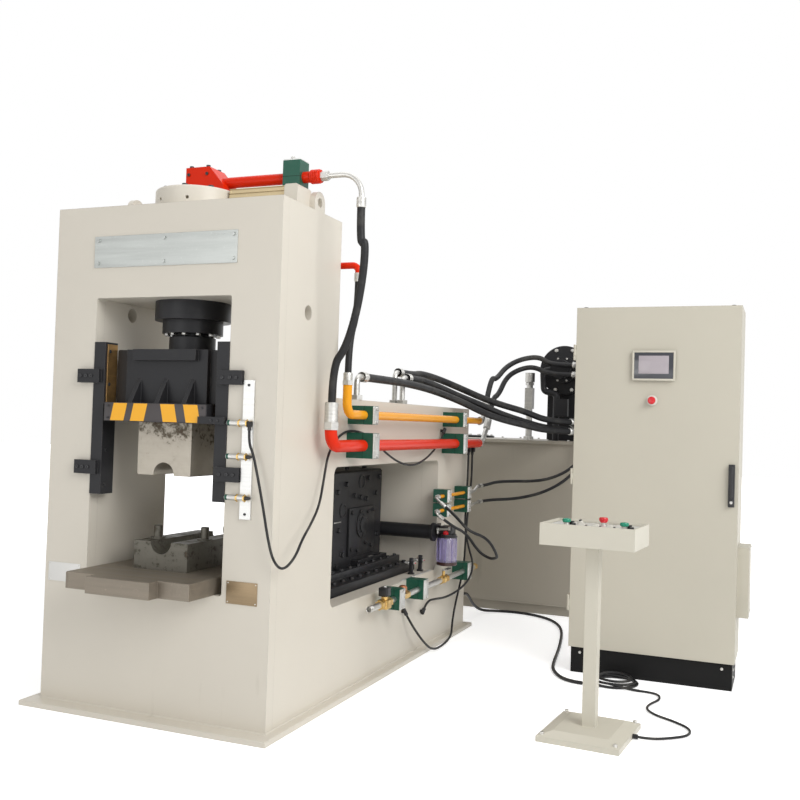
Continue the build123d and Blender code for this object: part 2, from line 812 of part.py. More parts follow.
def hose_fittings():
    # Nuts, elbows and crimped sleeves at the ends of the rigid pipes and hoses.
    y = crown_pipe_y
    z = crown_pipe_z
    top = hex_nut((crown_pipe_end_x, y, z), right, 24, 37)
    bend = [(crown_pipe_end_x + 37, y, z), (crown_elbow_x, y, z), (crown_elbow_x, y, crown_elbow_end_z)]
    top += elbow(bend, 13, 100)
    top += sleeve_to((crown_elbow_x, y, 2400), down, 22, 42)
    red_top = hex_nut((pipe_x, red_rise_y, red_top_z), up, 38, 37)
    red_top += sleeve_to((pipe_x, red_rise_y, 1488), up, 32, 90)
    yellow_top = hex_nut((pipe_x, yellow_rise_y, yellow_top_z), up, 28, 22)
    yellow_top += sleeve_to((pipe_x, yellow_rise_y, 1640), up, 22, 36)
    stub_end = sleeve_to((stub_x, stub_y, stub_end_z), down, 21, 40)
    pieces = [top, red_top, yellow_top, stub_end]
    for x, y, z, y1 in ((600, 635, 1645, 743), (470, 1475, 1718, 1569), (535, 1440, 1683, 1551)):
        nut = hex_nut((x, y, low_top_z), up, 34, 26)
        nut += elbow([(x, y, low_top_z + 20), (x, y, z), (x, y1 - 30, z)], 16, 40)
        pieces.append(nut + sleeve_to((x, y1, z), rear, 27, 50))
    return pieces


def end_fittings():
    # Silver swivel elbows at the rear ends of the red, yellow and small pipes.
    pieces = []
    for z, tip, start in ((red_z, (720, 2640, 1450), 34), (yellow_z, (718, 2600, 1600), 30)):
        nut = hex_nut((pipe_x, pipe_end_y, z), rear, start, 30)
        back = Vector(*tip) - Vector(*rise) * 60
        knee = (pipe_x, pipe_end_y + 75, z)
        nut += elbow([(pipe_x, pipe_end_y + 20, z), knee, tuple(back)], 17, 30)
        pieces.append(nut + sleeve_to(tip, rise, 25, 70))
    for z, end_z in zip(small_pipe_zs, (980, 868)):
        x = small_pipe_x
        nut = hex_nut((x, small_pipe_rear_y, z), rear, 17, 60)
        nut += elbow([(x, small_pipe_rear_y + 55, z), (x, 2450, z), (x, 2520, end_z), (x, 2600, end_z)], 9, 20)
        pieces.append(nut + sleeve_to((x, 2620, end_z), rear, 14, 60))
    for z, tip, out in ((952, (760, 1650, 900), aside), (862, loop_tip, under)):
        y0 = small_pipe_front_y
        nut = hex_nut((small_pipe_x, y0, z), front, 16, 30)
        back = Vector(*tip) - Vector(*out) * 38
        knee = (small_pipe_x, y0 - 62, z)
        nut += elbow([(small_pipe_x, y0 - 20, z), knee, tuple(back)], 8, 12)
        pieces.append(nut + sleeve_to(tip, out, 12, 40))
    return pieces


def cable_glands():
    # Glands and plugs at the ends of the electric cables.
    pieces = []
    for name in ("sensor_cable", "rear_cable_front", "rear_cable_floor", "floor_cable"):
        d, start, out, between, end, back = routes[name]
        if name == "sensor_cable":
            tip = strip_x + strip_w - 16
            box = block(tip, tip + 18, start[1] - 9, start[1] + 9, start[2] + 14, start[2] + 39)
            pieces.append(box + sleeve_to(start, out, 8, 16))
        if name.startswith("rear"):
            box = block(side_face_x, start[0] + 16, start[1] - 16, start[1] + 16, start[2] + 18, start[2] + 60)
            pieces.append(box + sleeve_to(start, down, 10, 20))
        if name == "floor_cable":
            pieces.append(sleeve_to(start, out, 16, 20))
        if name != "floor_cable":
            plug = sleeve_to(end, back, 11, 40)
            foot = Vector(*end) - Vector(*back) * 22
            foot_x = foot.X + 6
            plug += block(side_face_x, foot_x, foot.Y - 9, foot.Y + 9, foot.Z - 9, foot.Z + 9)
            pieces.append(plug)
    gland = along_x(ped_gland_y, 14, ped_base_w / 2, ped_gland_x, 11)
    pieces.append(place_pedestal(gland))
    return Compound(children=pieces)


def cable_coil():
    # Spare floor cable wound flat, with its two ends led off to either side.
    y = coil_y
    ring = upright(coil_x, y, 0, coil_h, coil_r) - upright(coil_x, y, -1, coil_h + 1, coil_inner_r)
    ring = fillet(ring.edges(), 10)
    ring += along_x(y - coil_mid_r, 11, coil_x - 155, coil_x, 10)
    ring += along_x(y - coil_mid_r, 8, coil_x, coil_x + 155, 6)
    return ring


def small_pipes():
    pipes = []
    for z in small_pipe_zs:
        pipes.append(along_y(small_pipe_x, z, small_pipe_front_y, small_pipe_rear_y, small_pipe_r))
    return pipes


def water_line():
    # Pipe with an open front end, solenoid valve, union, ball valve and lever.
    x = water_x
    z = water_z
    y0 = water_front_y
    pipe = along_y(x, z, y0, water_rear_y, water_r)
    pipe -= along_y(x, z, y0 - 5, y0 + 40, water_r - 4)
    pipe += block(x - 30, x + 30, y0 + 175, y0 + 245, z - 28, z + 30)
    pipe += hex_nut((x, y0 + 140, z), rear, 29, 35)
    pipe += hex_nut((x, y0 + 245, z), rear, 29, 35)
    pipe += upright(x, y0 + 210, z + 30, z + 48, 17)
    pipe += block(x - 26, x + 26, y0 + 180, y0 + 240, z + 40, z + 92)
    pipe += along_y(x, z, y0 + 480, y0 + 505, 44)
    pipe += hex_nut((x, y0 + 445, z), rear, 27, 100)
    pipe += hex_nut((x, y0 + 1110, z), rear, 27, 120)
    pipe += upright(x, y0 + 1170, z, z + 62, 9)
    pipe += block(x - 9, x + 9, y0 + 1160, y0 + 1290, z + 56, z + 62)
    pipe += hex_nut((x, water_rear_y - 60, z), rear, 24, 40)
    return pipe


def lubricator():
    # Clear bowl with its base ring, head, top knob and bracket.
    x = bowl_x
    y = bowl_y
    z0 = bowl_bottom_z
    z1 = bowl_top_z
    body = upright(x, y, z0 + 14, z1, bowl_r - 4)
    body += upright(x, y, z0, z0 + 16, bowl_r)
    body += upright(x, y, z1, z1 + 22, bowl_r - 8)
    body += block(x - 42, x + 42, y - 42, y + 42, z1 + 18, z1 + 72)
    body += upright(x, y, z1 + 72, z1 + 88, 17)
    y0 = window_rear_y + 5
    body += block(side_face_x + 10, x, y0, y0 + 18, z1 + 24, z1 + 66)
    body += along_y(x, z1 + 46, y + 42, y + 80, 14)
    return body


def sign_plates():
    # Bare plates on the front: the long one with its studs and two small ones.
    y = front_y
    x = sign_half
    plate = block(-x, x, y - sign_t, y, sign_bottom_z, sign_top_z)
    for stud_x in (22 - x, 0, x - 22):
        for stud_z in (sign_bottom_z + 20, sign_top_z - 20):
            plate += along_y(stud_x, stud_z, y - sign_t - 7, y - sign_t, stud_r)
    left_info = block(-602, -413, y - 2, y, 592, 681)
    right_info = block(403, 561, y - 2, y, 577, 677)
    return Compound(children=[plate, left_info, right_info])


def tank_body():
    x0 = tank_left_x
    x1 = tank_right_x
    body = block(x0, x1, tank_front_y, tank_rear_y, tank_bottom_z, tank_top_z)
    body -= block(x0 + 6, x1 - 6, tank_front_y + 6, tank_rear_y - 6, tank_bottom_z + 6, tank_top_z + 1)
    skirt = block(x0 + 20, x1 - 20, tank_front_y + 20, tank_rear_y - 20, 0, tank_bottom_z)
    skirt -= block(x0 + 60, x1 - 60, tank_front_y + 60, tank_rear_y - 60, -1, tank_bottom_z)
    return body + skirt


def tank_lid():
    # Lid with its rim all round.
    e = tank_lid_lip
    z0 = tank_top_z
    z1 = tank_top_z + tank_lid_t
    return block(tank_left_x - e, tank_right_x + e, tank_front_y - e, tank_rear_y + e, z0, z1)


def motor():
    # Motor on its saddle with the pump in front of it.
    x = motor_x
    y = motor_y
    z = motor_z
    y0 = y - motor_len / 2
    shell = along_y(x, z, y0 + 30, y + motor_len / 2 - 40, motor_r - 14)
    for turn in range(0, 360, 12):
        fin = block(-3, 3, y0 + 40, y + motor_len / 2 - 60, motor_r - 20, motor_r)
        shell += Pos(x, 0, z) * Rot(0, turn, 0) * fin
    shell += along_y(x, z, y0, y0 + 30, motor_r)
    shell += along_y(x, z, y + motor_len / 2 - 60, y + motor_len / 2, motor_r)
    shell += along_y(x, z, y0 - 60, y0, 105)
    shell += along_y(x, z, y0 - 150, y0 - 60, 75)
    h = saddle_half
    z1 = tank_top_z + tank_lid_t
    shell += block(x - h, x + h, y - h, y + h, z1, z - motor_r + 60)
    pump_y = y0 - 105
    low_x = x - 30
    route = [(x - 60, pump_y, z), (940, pump_y, z - 15), (950, pump_y, 1690), (low_x, pump_y, 1670), (low_x, pump_y, z1)]
    shell += elbow(route, 24, 35)
    return shell + block(low_x, low_x + 97, pump_y - 50, pump_y, 1498, 1630)


def valve_stack():
    # Upright manifold on the tank lid that takes the hoses on its left face.
    x = stack_left_x
    z0 = tank_top_z + tank_lid_t
    body = block(x, x + stack_w, stack_front_y, stack_rear_y, z0, stack_top_z)
    for y, z, r in stack_ports:
        body += sleeve_to((x - 40, y, z), left, r, 45)
    for port in (port_a, port_b, port_c):
        body += sleeve_to(port, slant, 27, 105)
    for z in (1570, 1660, 1740):
        body += block(x + stack_w, x + stack_w + 55, stack_front_y + 25, stack_rear_y - 25, z - 30, z + 30)
    y1 = stack_front_y
    for x1, z1 in ((1310, 1420), (1338 - 4, 1420)):
        body += elbow([(x1, y1 + 5, z1), (x1, y1 - 58, z1), (x1, y1 - 58, 1365)], 9, 20)
    for x1 in (1310, 1338):
        body += sleeve_to((x1, y1 - 58, 1340), down, 13, 40)
    return body


def tank_fittings():
    # Filter column on the lid: post, canister and its box.
    x = filter_x
    y = filter_y
    column = upright(x, y, tank_top_z + tank_lid_t, 1765, 25)
    column += upright(x, y, 1765, 1839, 38)
    return column + block(x - 31, x + 31, y - 31, y + 31, 1554, 1719)


def cabinet_body():
    # Sheet housing, open at the front behind the door, with louvres, side box and hinges.
    x0 = cab_left_x
    x1 = cab_left_x + cab_width
    y0 = cab_front_y + door_t + door_gap
    y1 = cab_front_y + cab_depth
    body = block(x0, x1, y0, y1, plinth_h, cab_top_z)
    body -= block(x0 + 20, x1 - 20, y0 - 1, y1 - sheet_t, plinth_h + 20, cab_top_z - 20)
    for row in range(louvre_count):
        z = louvre_low_z + row * louvre_pitch
        body -= block(x1 - 5, x1 + 1, y0 + 12, y0 + 60, z, z + 8)
    body += block(x1, x1 + side_box_t, cab_front_y + 90, cab_front_y + 330, side_box_bottom_z, side_box_top_z)
    for z in hinge_zs:
        body += hinge_leaf(z - 45, z - 20)
        body += hinge_leaf(z + 20, z + 45)
        body += upright(hinge_x, hinge_y, z - 45, z + 45, hinge_pin_r)
    return body


def hinge_leaf(z0, z1):
    # Knuckle on the hinge pin with its strap back to the side of the cabinet.
    y1 = cab_front_y + door_t + door_gap
    leaf = upright(hinge_x, hinge_y, z0, z1, knuckle_r)
    leaf += block(hinge_x - 5, hinge_x + 1, hinge_y, y1 + 30, z0, z1)
    leaf += block(hinge_x - 5, cab_left_x, y1 + 6, y1 + 30, z0, z1)
    return leaf


def cabinet_plinth():
    x0 = cab_left_x + 12
    x1 = cab_left_x + cab_width - 12
    y0 = cab_front_y + 20
    return block(x0, x1, y0, cab_front_y + cab_depth - 10, 0, plinth_h)


def cabinet_door():
    x0 = cab_left_x
    x1 = cab_left_x + cab_width
    door = block(x0, x1, cab_front_y, cab_front_y + door_t, plinth_h + 3, cab_top_z - 3)
    inside = block(x0 + 4, x1 - 4, cab_front_y + sheet_t, cab_front_y + door_t + 1, plinth_h + 7, cab_top_z - 7)
    door -= inside
    for z in hinge_zs:
        ear = upright(hinge_x, hinge_y, z - 19, z + 19, knuckle_r)
        ear += block(hinge_x, cab_left_x + 3, hinge_y + 1, hinge_y + knuckle_r + 2, z - 19, z + 19)
        ear -= upright(hinge_x, hinge_y, z - 20, z + 20, hinge_pin_r + 0.1)
        door += ear
    return door


def mounting_plate():
    # Board with the switchgear, seen when the door is open.
    y1 = cab_front_y + cab_depth - sheet_t
    x0 = cab_left_x + 60
    x1 = cab_left_x + cab_width - 60
    return block(x0, x1, y1 - 25, y1, plinth_h + 70, cab_top_z - 70)


def door_fittings():
    # Screen bezel, stop button and handle on the face of the door.
    y1 = cab_front_y
    w = screen_half_w
    h = screen_half_h
    bezel = block(screen_x - w, screen_x + w, y1 - 8, y1, screen_z - h, screen_z + h)
    bezel = chamfer(bezel.edges().group_by(Axis.Y)[0], 4)
    button = along_y(stop_x, stop_z, y1 - 12, y1, 13)
    button += along_y(stop_x, stop_z, y1 - 28, y1 - 10, 20)
    handle = block(handle_x, handle_x + 34, y1 - 8, y1, handle_bottom_z, handle_top_z)
    handle += block(handle_x + 9, handle_x + 25, y1 - 20, y1 - 8, handle_bottom_z + 40, handle_top_z - 15)
    return Compound(children=[bezel, button, handle])


def place_pedestal(shape):
    return Pos(ped_x, ped_y, 0) * Rot(0, 0, ped_turn) * shape


def pedestal_stand():
    w = ped_base_w / 2
    d = ped_base_d / 2
    base = block(-w, w, -d, d, 0, ped_base_h)
    base = chamfer(base.edges().group_by(Axis.Z)[-1], 20, 60)
    p = ped_post / 2
    base += block(-p, p, -p, p, ped_base_h, ped_box_z)
    return place_pedestal(base)


def pedestal_box():
    w = ped_box_w / 2
    d = ped_box_d / 2
    box = block(-w, w, -d, d, ped_box_z, ped_box_z + ped_box_h)
    e = ped_rim
    z1 = ped_box_z + ped_box_h
    box -= block(-w + e, w - e, -d + e, d - e, z1 - ped_recess, z1 + 5)
    return place_pedestal(box)


def pedestal_buttons():
    heads = []
    z = ped_box_z + ped_box_h - ped_recess
    for x, y, r, h in ped_heads:
        head = upright(x, y, z, z + h * 0.55, r * 0.7) + upright(x, y, z + h * 0.45, z + h, r)
        heads.append(place_pedestal(head))
    return Compound(children=heads)


def smooth_points(points, spacing):
    # Even points along a smooth curve through the given points.
    p = [Vector(*q) for q in points]
    p = [p[0] * 2 - p[1]] + p + [p[-1] * 2 - p[-2]]
    dense = []
    for i in range(1, len(p) - 2):
        for k in range(24):
            t = k / 24
            a = p[i] * 2
            b = (p[i + 1] - p[i - 1]) * t
            c = (p[i - 1] * 2 - p[i] * 5 + p[i + 1] * 4 - p[i + 2]) * t**2
            d = (p[i] * 3 - p[i - 1] - p[i + 1] * 3 + p[i + 2]) * t**3
            dense.append((a + b + c + d) * 0.5)
    dense.append(p[-2])
    return even_points(dense, spacing)


def even_points(dense, spacing):
    # Points at equal steps along the short chords of a curve.
    steps = [(dense[i + 1] - dense[i]).length for i in range(len(dense) - 1)]
    count = max(1, round(sum(steps) / spacing))
    step = sum(steps) / count
    even = [dense[0]]
    walked = 0
    for i, length in enumerate(steps):
        while len(even) < count and step * len(even) <= walked + length:
            share = (step * len(even) - walked) / length
            even.append(dense[i] + (dense[i + 1] - dense[i]) * share)
        walked += length
    even.append(dense[-1])
    return even


def corner_radius(p, i):
    # Largest neat arc at corner i, and never wider than nearly half the shorter run.
    before = p[i] - p[i - 1]
    after = p[i + 1] - p[i]
    half = math.radians(before.get_angle(after)) / 2
    return 0.45 * min(before.length, after.length) / math.tan(max(half, 0.004))


def relaxed(points, least):
    # Ease every corner tighter than the least radius, with the two points at each end kept.
    p = list(points)
    last = len(p) - 1
    for easing in range(120):
        tight = [i for i in range(1, last) if corner_radius(p, i) < least]
        if not tight:
            break
        for i in tight:
            for k in range(max(2, i - 1), min(last - 1, i + 2)):
                p[k] = p[k] * 0.8 + (p[k - 1] + p[k + 1]) * 0.1
            if i == 1 and last > 4:
                ahead = (p[1] - p[0]).normalized() * (p[2] - p[1]).length
                p[2] = p[2] * 0.8 + (p[1] + ahead) * 0.2
            if i == last - 1 and last > 4:
                ahead = (p[i] - p[last]).normalized() * (p[i - 1] - p[i]).length
                p[i - 1] = p[i - 1] * 0.8 + (p[i] + ahead) * 0.2
    for i in range(1, last):
        if math.radians((p[i] - p[i - 1]).get_angle(p[i + 1] - p[i])) < 0.012:
            aside_way = (p[i + 1] - p[i - 1]).cross(Vector(0.3, 0.5, 0.8)).normalized()
            k = min(max(i, 2), last - 2)
            p[k] += aside_way * (p[i] - p[i - 1]).length * 0.012
    return p


def cord(name):
    # Round hose along its route of straight runs and tangent arcs.
    d, start, out, between, end, back = routes[name]
    lead = cord_run * d * 0.8
    first = Vector(*start) + Vector(*out) * lead
    last = Vector(*end) + Vector(*back) * lead
    inner = smooth_points([tuple(first)] + between + [tuple(last)], cord_run * d)
    points = relaxed([Vector(*start)] + inner + [Vector(*end)], least_bend * d)
    radii = [corner_radius(points, i) for i in range(1, len(points) - 1)]
    line = FilletPolyline(*points, radius=radii)
    tube = sweep(Plane(line @ 0, z_dir=line % 0) * Circle(d / 2), path=line)
    ratio = tube.volume / (math.pi * d * d / 4 * line.length)
    print(name, "length", round(line.length), "radii", [round(r) for r in radii], "volume", round(ratio, 3))
    return tube


os.makedirs("parts", exist_ok=True)
save(base_plate(), "base_plate")
save(side_plate() + lifting_lug(side_face_x - lug_t, lug_hole_z) + end_block(), "right_side_plate")
save(mirrored(side_plate()), "left_side_plate")
save(front_plate(), "front_plate")
save(crown(), "crown")
save(bed(), "bed")
save(rear_housing(), "rear_housing")
save(clamp_cylinder(), "clamp_cylinder")
save(cap_ring(), "cap_ring")
save(clamp_ram(), "clamp_ram")
save(slide(), "slide")
save(upper_die(), "upper_die")
save(lower_die(), "lower_die")
save(table(), "table")
save(Compound(children=[guide_rail(), mirrored(guide_rail())]), "guide_rails")
save(Compound(children=[bronze_strip(), mirrored(bronze_strip())]), "bronze_strips")
save(Compound(children=[sensor_strip()] + window_probes()), "sensors")
save(upset_cylinder(), "upset_cylinder")
save(upset_block(), "upset_block")
save(punch(), "punch")
save(cross_sleeve(), "cross_sleeve")
save(Compound(children=[yellow_pipe()] + small_pipes()), "yellow_pipes")
save(red_pipe(), "red_pipes")
save(pipe_clamps(), "pipe_clamps")
save(crown_manifold(), "crown_manifold")
save(crown_channel(), "crown_channel")
save(Compound(children=hose_fittings() + end_fittings()), "hose_fittings")
save(water_line(), "water_line")
save(lubricator(), "lubricator")
save(sign_plates(), "sign_plates")
save(cable_glands(), "cable_glands")
save(cable_coil(), "cable_coil")
save(tank_body(), "tank_body")
save(tank_lid(), "tank_lid")
save(motor(), "motor")
save(valve_stack(), "valve_stack")
save(tank_fittings(), "tank_fittings")
save(cabinet_body(), "cabinet_body")
save(cabinet_plinth(), "cabinet_plinth")
save(cabinet_door(), "cabinet_door")
save(mounting_plate(), "mounting_plate")
save(door_fittings(), "door_fittings")
save(pedestal_stand(), "pedestal_stand")
save(pedestal_box(), "pedestal_box")
save(pedestal_buttons(), "pedestal_buttons")
for route_name in routes:
    save(cord(route_name), route_name)
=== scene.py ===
"""Looks of the hydraulic upsetting press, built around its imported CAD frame."""

import math

import bmesh
import bpy
from mathutils import Matrix, Vector


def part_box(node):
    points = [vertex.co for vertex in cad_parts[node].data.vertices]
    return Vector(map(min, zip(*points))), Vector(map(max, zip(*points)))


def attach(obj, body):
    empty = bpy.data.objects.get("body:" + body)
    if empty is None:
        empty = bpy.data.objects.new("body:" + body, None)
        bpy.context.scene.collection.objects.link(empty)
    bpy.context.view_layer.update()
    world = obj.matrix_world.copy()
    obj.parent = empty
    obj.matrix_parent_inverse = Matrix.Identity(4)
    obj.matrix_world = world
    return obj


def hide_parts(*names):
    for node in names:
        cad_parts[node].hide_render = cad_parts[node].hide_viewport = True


bl_info = {
    "name": "Hydraulic upsetting press",
    "version": (1, 0, 0),
    "blender": (4, 5, 0),
    "location": "3D View > Sidebar > Press",
    "description": "Paint, fastenings, hoses and fittings of a hydraulic upsetting press",
    "category": "Object",
}

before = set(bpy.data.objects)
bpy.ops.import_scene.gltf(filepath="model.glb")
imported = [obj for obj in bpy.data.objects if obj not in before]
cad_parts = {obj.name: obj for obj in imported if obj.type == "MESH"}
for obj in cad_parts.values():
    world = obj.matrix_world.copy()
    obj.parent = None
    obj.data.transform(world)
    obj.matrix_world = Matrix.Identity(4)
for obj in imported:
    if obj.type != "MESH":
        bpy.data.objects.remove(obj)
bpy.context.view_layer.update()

# Directions of the part's frame.
RIGHT, LEFT = Vector((1, 0, 0)), Vector((-1, 0, 0))
REAR, FRONT = Vector((0, 1, 0)), Vector((0, -1, 0))
UP, DOWN = Vector((0, 0, 1)), Vector((0, 0, -1))

# Faces that carry most of the details, from the frame itself.
SIDE_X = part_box("right_side_plate")[1].x
FACE_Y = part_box("front_plate")[0].y
REAR_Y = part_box("rear_housing")[1].y
DOOR_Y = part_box("cabinet_door")[0].y


def colour(label, note, value):
    """Colour that the panel shows."""
    return bpy.props.FloatVectorProperty(
        name=label, description=note, subtype="COLOR", size=3, min=0, max=1, default=value
    )


def length(label, note, value):
    """Length in metres that the panel shows."""
    return bpy.props.FloatProperty(
        name=label, description=note, default=value, min=0, subtype="DISTANCE", unit="LENGTH"
    )


class PressColours(bpy.types.PropertyGroup):
    """Paints and plastics of the press, in linear colour."""

    cream: colour("Frame paint", "Cream enamel on the welded frame", (0.68, 0.635, 0.55))
    cabinet: colour("Cabinet paint", "Powder coat of the control cabinet", (0.535, 0.505, 0.42))
    tank: colour("Tank paint", "Enamel of the oil tank", (0.42, 0.385, 0.32))
    pedestal: colour("Pedestal paint", "Powder coat of the button pedestal", (0.60, 0.57, 0.48))
    black: colour("Black parts", "Blackened steel of slide, rails and rams", (0.022, 0.022, 0.024))
    plinth: colour("Plinth", "Black of the cabinet plinth", (0.008, 0.008, 0.008))
    red: colour("Red pipe", "Red of the pressure pipe", (0.72, 0.024, 0.003))
    yellow: colour("Yellow pipe", "Yellow of the return pipe", (0.86, 0.36, 0.012))
    green: colour("Clamp green", "Green of the pipe clamps", (0.0, 0.078, 0.045))
    stripe: colour("Stripe yellow", "Yellow of the hazard stripes", (0.92, 0.44, 0.01))
    bowl: colour("Bowl", "Tint of the lubricator bowl", (0.60, 0.55, 0.80))


class PressSizes(bpy.types.PropertyGroup):
    """Sizes of the fastenings and the floor."""

    bracket_bolt: length("Bracket bolt", "Width of the round bracket bolt heads", 0.017)
    clamp_bolt: length("Clamp bolt", "Width across the clamp bolt heads", 0.015)
    weld_width: length("Weld bead", "Width of the fillet welds on the frame", 0.012)
    floor_reach: length("Floor reach", "How far the floor runs past the press", 30.0)
    lens: bpy.props.FloatProperty(
        name="Lens", description="Focal length of the camera in millimetres", default=43.38, min=10
    )


def fresh(count):
    """That many empty meshes."""
    return [bmesh.new() for each in range(count)]


def capped(*rim):
    """Profile of a solid round shape: the rim's points, with both ends carried to the axis."""
    return [(0, rim[0][1]), *rim, (0, rim[-1][1])]


def spokes(count, shift=0.0, first=RIGHT, second=REAR):
    """Even directions round a ring, turned on by the shift as a part of one step."""
    angles = [math.tau * (i + shift) / count for i in range(count)]
    return [first * math.cos(angle) + second * math.sin(angle) for angle in angles]


def spread(low, high, count):
    """Even places from low to high."""
    return [low + i * (high - low) / (count - 1) for i in range(count)]


def turned_to(origin, direction):
    """Matrix that stands a shape made along Z at the origin, along the direction."""
    turn = Vector(direction).to_track_quat("Z", "Y").to_matrix().to_4x4()
    return Matrix.Translation(Vector(origin)) @ turn


def add(target, made, matrix=None):
    """Moves a finished bmesh into the target one."""
    if matrix is not None:
        made.transform(matrix)
    holder = bpy.data.meshes.new("holder")
    made.to_mesh(holder)
    made.free()
    target.from_mesh(holder)
    bpy.data.meshes.remove(holder)


def add_block(target, low, high, bevel=0.0, matrix=None):
    """Box between two corners, with its edges bevelled."""
    made = bmesh.new()
    low, high = Vector(low), Vector(high)
    place = Matrix.Translation((low + high) / 2) @ Matrix.Diagonal((high - low).to_4d())
    place[3][3] = 1
    bmesh.ops.create_cube(made, size=1, matrix=place)
    if bevel:
        bmesh.ops.bevel(
            made, geom=made.edges[:], offset=bevel, affect="EDGES", segments=2, profile=0.5, material=-1
        )
    add(target, made, matrix)


def add_post(target, centre, half, foot, top, bevel=0.0, matrix=None):
    """Upright block about a centre, from its half width and half depth, between two heights."""
    x, y = centre
    wide, deep = half
    add_block(target, (x - wide, y - deep, foot), (x + wide, y + deep, top), bevel, matrix)


def add_rows(make, target, across, along, up, *how):
    """One fastening at every crossing of the places across, along and up."""
    for x in across:
        for y in along:
            for z in up:
                make(target, (x, y, z), *how)


def add_turned(target, profile, origin, direction, steps=24):
    """Round shape from a profile of (radius, height) points, turned about the direction."""
    made = bmesh.new()
    points = [made.verts.new((radius, 0, height)) for radius, height in profile]
    rim = [made.edges.new(pair) for pair in zip(points, points[1:])]
    bmesh.ops.spin(
        made, geom=points + rim, cent=(0, 0, 0), axis=(0, 0, 1), angle=math.tau, steps=steps, use_merge=True
    )
    bmesh.ops.remove_doubles(made, verts=made.verts[:], dist=1e-6)
    bmesh.ops.recalc_face_normals(made, faces=made.faces[:])
    add(target, made, turned_to(origin, direction))


def add_rod(target, start, end, radius, steps=20):
    """Round bar between two points with a small edge at each end."""
    way = Vector(end) - Vector(start)
    tall = way.length
    edge = min(radius * 0.15, tall * 0.2)
    rim = capped((radius - edge, 0), (radius, edge), (radius, tall - edge), (radius - edge, tall))
    add_turned(target, rim, start, way, steps)


def add_hex(target, origin, direction, across, height, washer=True):
    """Hexagon head with its chamfer and washer."""
    radius = across / math.sqrt(3)
    lift = 0.0
    if washer:
        lift = height * 0.16
        add_turned(target, capped((across * 0.62, 0), (across * 0.62, lift)), origin, direction, 20)
    made = bmesh.new()
    bmesh.ops.create_cone(
        made, cap_ends=True, segments=6, radius1=radius, radius2=radius, depth=height,
        matrix=Matrix.Translation((0, 0, lift + height / 2)),
    )
    top = [e for e in made.edges if all(v.co.z > lift + height * 0.9 for v in e.verts)]
    bmesh.ops.bevel(
        made, geom=top, offset=across * 0.06, affect="EDGES", segments=1, profile=0.5, material=-1
    )
    add(target, made, turned_to(origin, direction))


def add_socket(target, origin, direction, across, height):
    """Round head with a socket in its top."""
    r = across / 2
    dip = r * 0.52
    rim = capped((r, 0), (r, height - r * 0.15), (r * 0.86, height), (dip, height), (dip, height * 0.45))
    add_turned(target, rim, origin, direction, 18)


def add_weld(target, start, end, radius, pitch=0.012):
    """Fillet weld bead with its ripples, half sunk in the corner between two plates."""
    way = Vector(end) - Vector(start)
    count = max(3, round(way.length / pitch))
    step = way.length / count
    rim = []
    for i in range(count):
        rim += [(radius * 0.86, (i + 0.08) * step), (radius, (i + 0.5) * step)]
    profile = [(0, 0), *rim, (radius * 0.8, way.length), (0, way.length)]
    add_turned(target, profile, start, way, 8)


def lay_spline(curve, points):
    """Smooth line that starts and ends at the outer points and bends towards those between."""
    spline = curve.splines.new("NURBS")
    spline.points.add(len(points) - 1)
    for knot, point in zip(spline.points, points):
        knot.co = (*point, 1)
    spline.order_u = 3
    spline.use_endpoint_u = True


def finish_piece(name, made, body, finish, replaces=(), angle=35):
    """Makes the piece, gives it its finish and lets it ride on its body."""
    mesh = bpy.data.meshes.new(name)
    made.to_mesh(mesh)
    made.free()
    for face in mesh.polygons:
        face.use_smooth = True
    mesh.set_sharp_from_angle(angle=math.radians(angle))
    piece = bpy.data.objects.new(name, mesh)
    bpy.context.scene.collection.objects.link(piece)
    mesh.materials.append(finishes(finish))
    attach(piece, body)
    if replaces:
        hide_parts(*replaces)
    return piece


def wire(tree, node, **given):
    """Links or sets the inputs of a node, given by label with _ for a space."""
    for label, part in given.items():
        socket = node.inputs[label.replace("_", " ")]
        if isinstance(part, bpy.types.NodeSocket):
            tree.links.new(part, socket)
        else:
            socket.default_value = part
    return node


def shader_group(name, inputs, outputs):
    """Empty node group with named sockets, and its two end nodes."""
    group = bpy.data.node_groups.new(name, "ShaderNodeTree")
    for label, kind, value in inputs:
        socket = group.interface.new_socket(name=label, in_out="INPUT", socket_type=kind)
        if value is not None:
            socket.default_value = value
    for label, kind in outputs:
        group.interface.new_socket(name=label, in_out="OUTPUT", socket_type=kind)
    return group, group.nodes.new("NodeGroupInput").outputs, group.nodes.new("NodeGroupOutput")


def noise(tree, vector, scale, detail, rough):
    """Cloudy pattern laid by the vector."""
    node = tree.nodes.new("ShaderNodeTexNoise")
    return wire(tree, node, Vector=vector, Scale=scale, Detail=detail, Roughness=rough).outputs["Fac"]


def ranged(tree, value, low, high, to_low=0.0, to_high=1.0):
    """The value between low and high, carried to the other range."""
    node = tree.nodes.new("ShaderNodeMapRange")
    wire(tree, node, Value=value, From_Min=low, From_Max=high, To_Min=to_low, To_Max=to_high)
    return node.outputs["Result"]


def reckon(tree, how, a, b):
    """Sum, difference, product or larger one of two values."""
    node = tree.nodes.new("ShaderNodeMath")
    node.operation = how
    for socket, given in zip(node.inputs, (a, b)):
        if isinstance(given, bpy.types.NodeSocket):
            tree.links.new(given, socket)
        else:
            socket.default_value = given
    return node.outputs[0]


def mapped(tree, vector, scale, turn=(0.0, 0.0, 0.0)):
    """The vector, stretched and turned."""
    node = tree.nodes.new("ShaderNodeMapping")
    return wire(tree, node, Vector=vector, Scale=scale, Rotation=turn).outputs["Vector"]


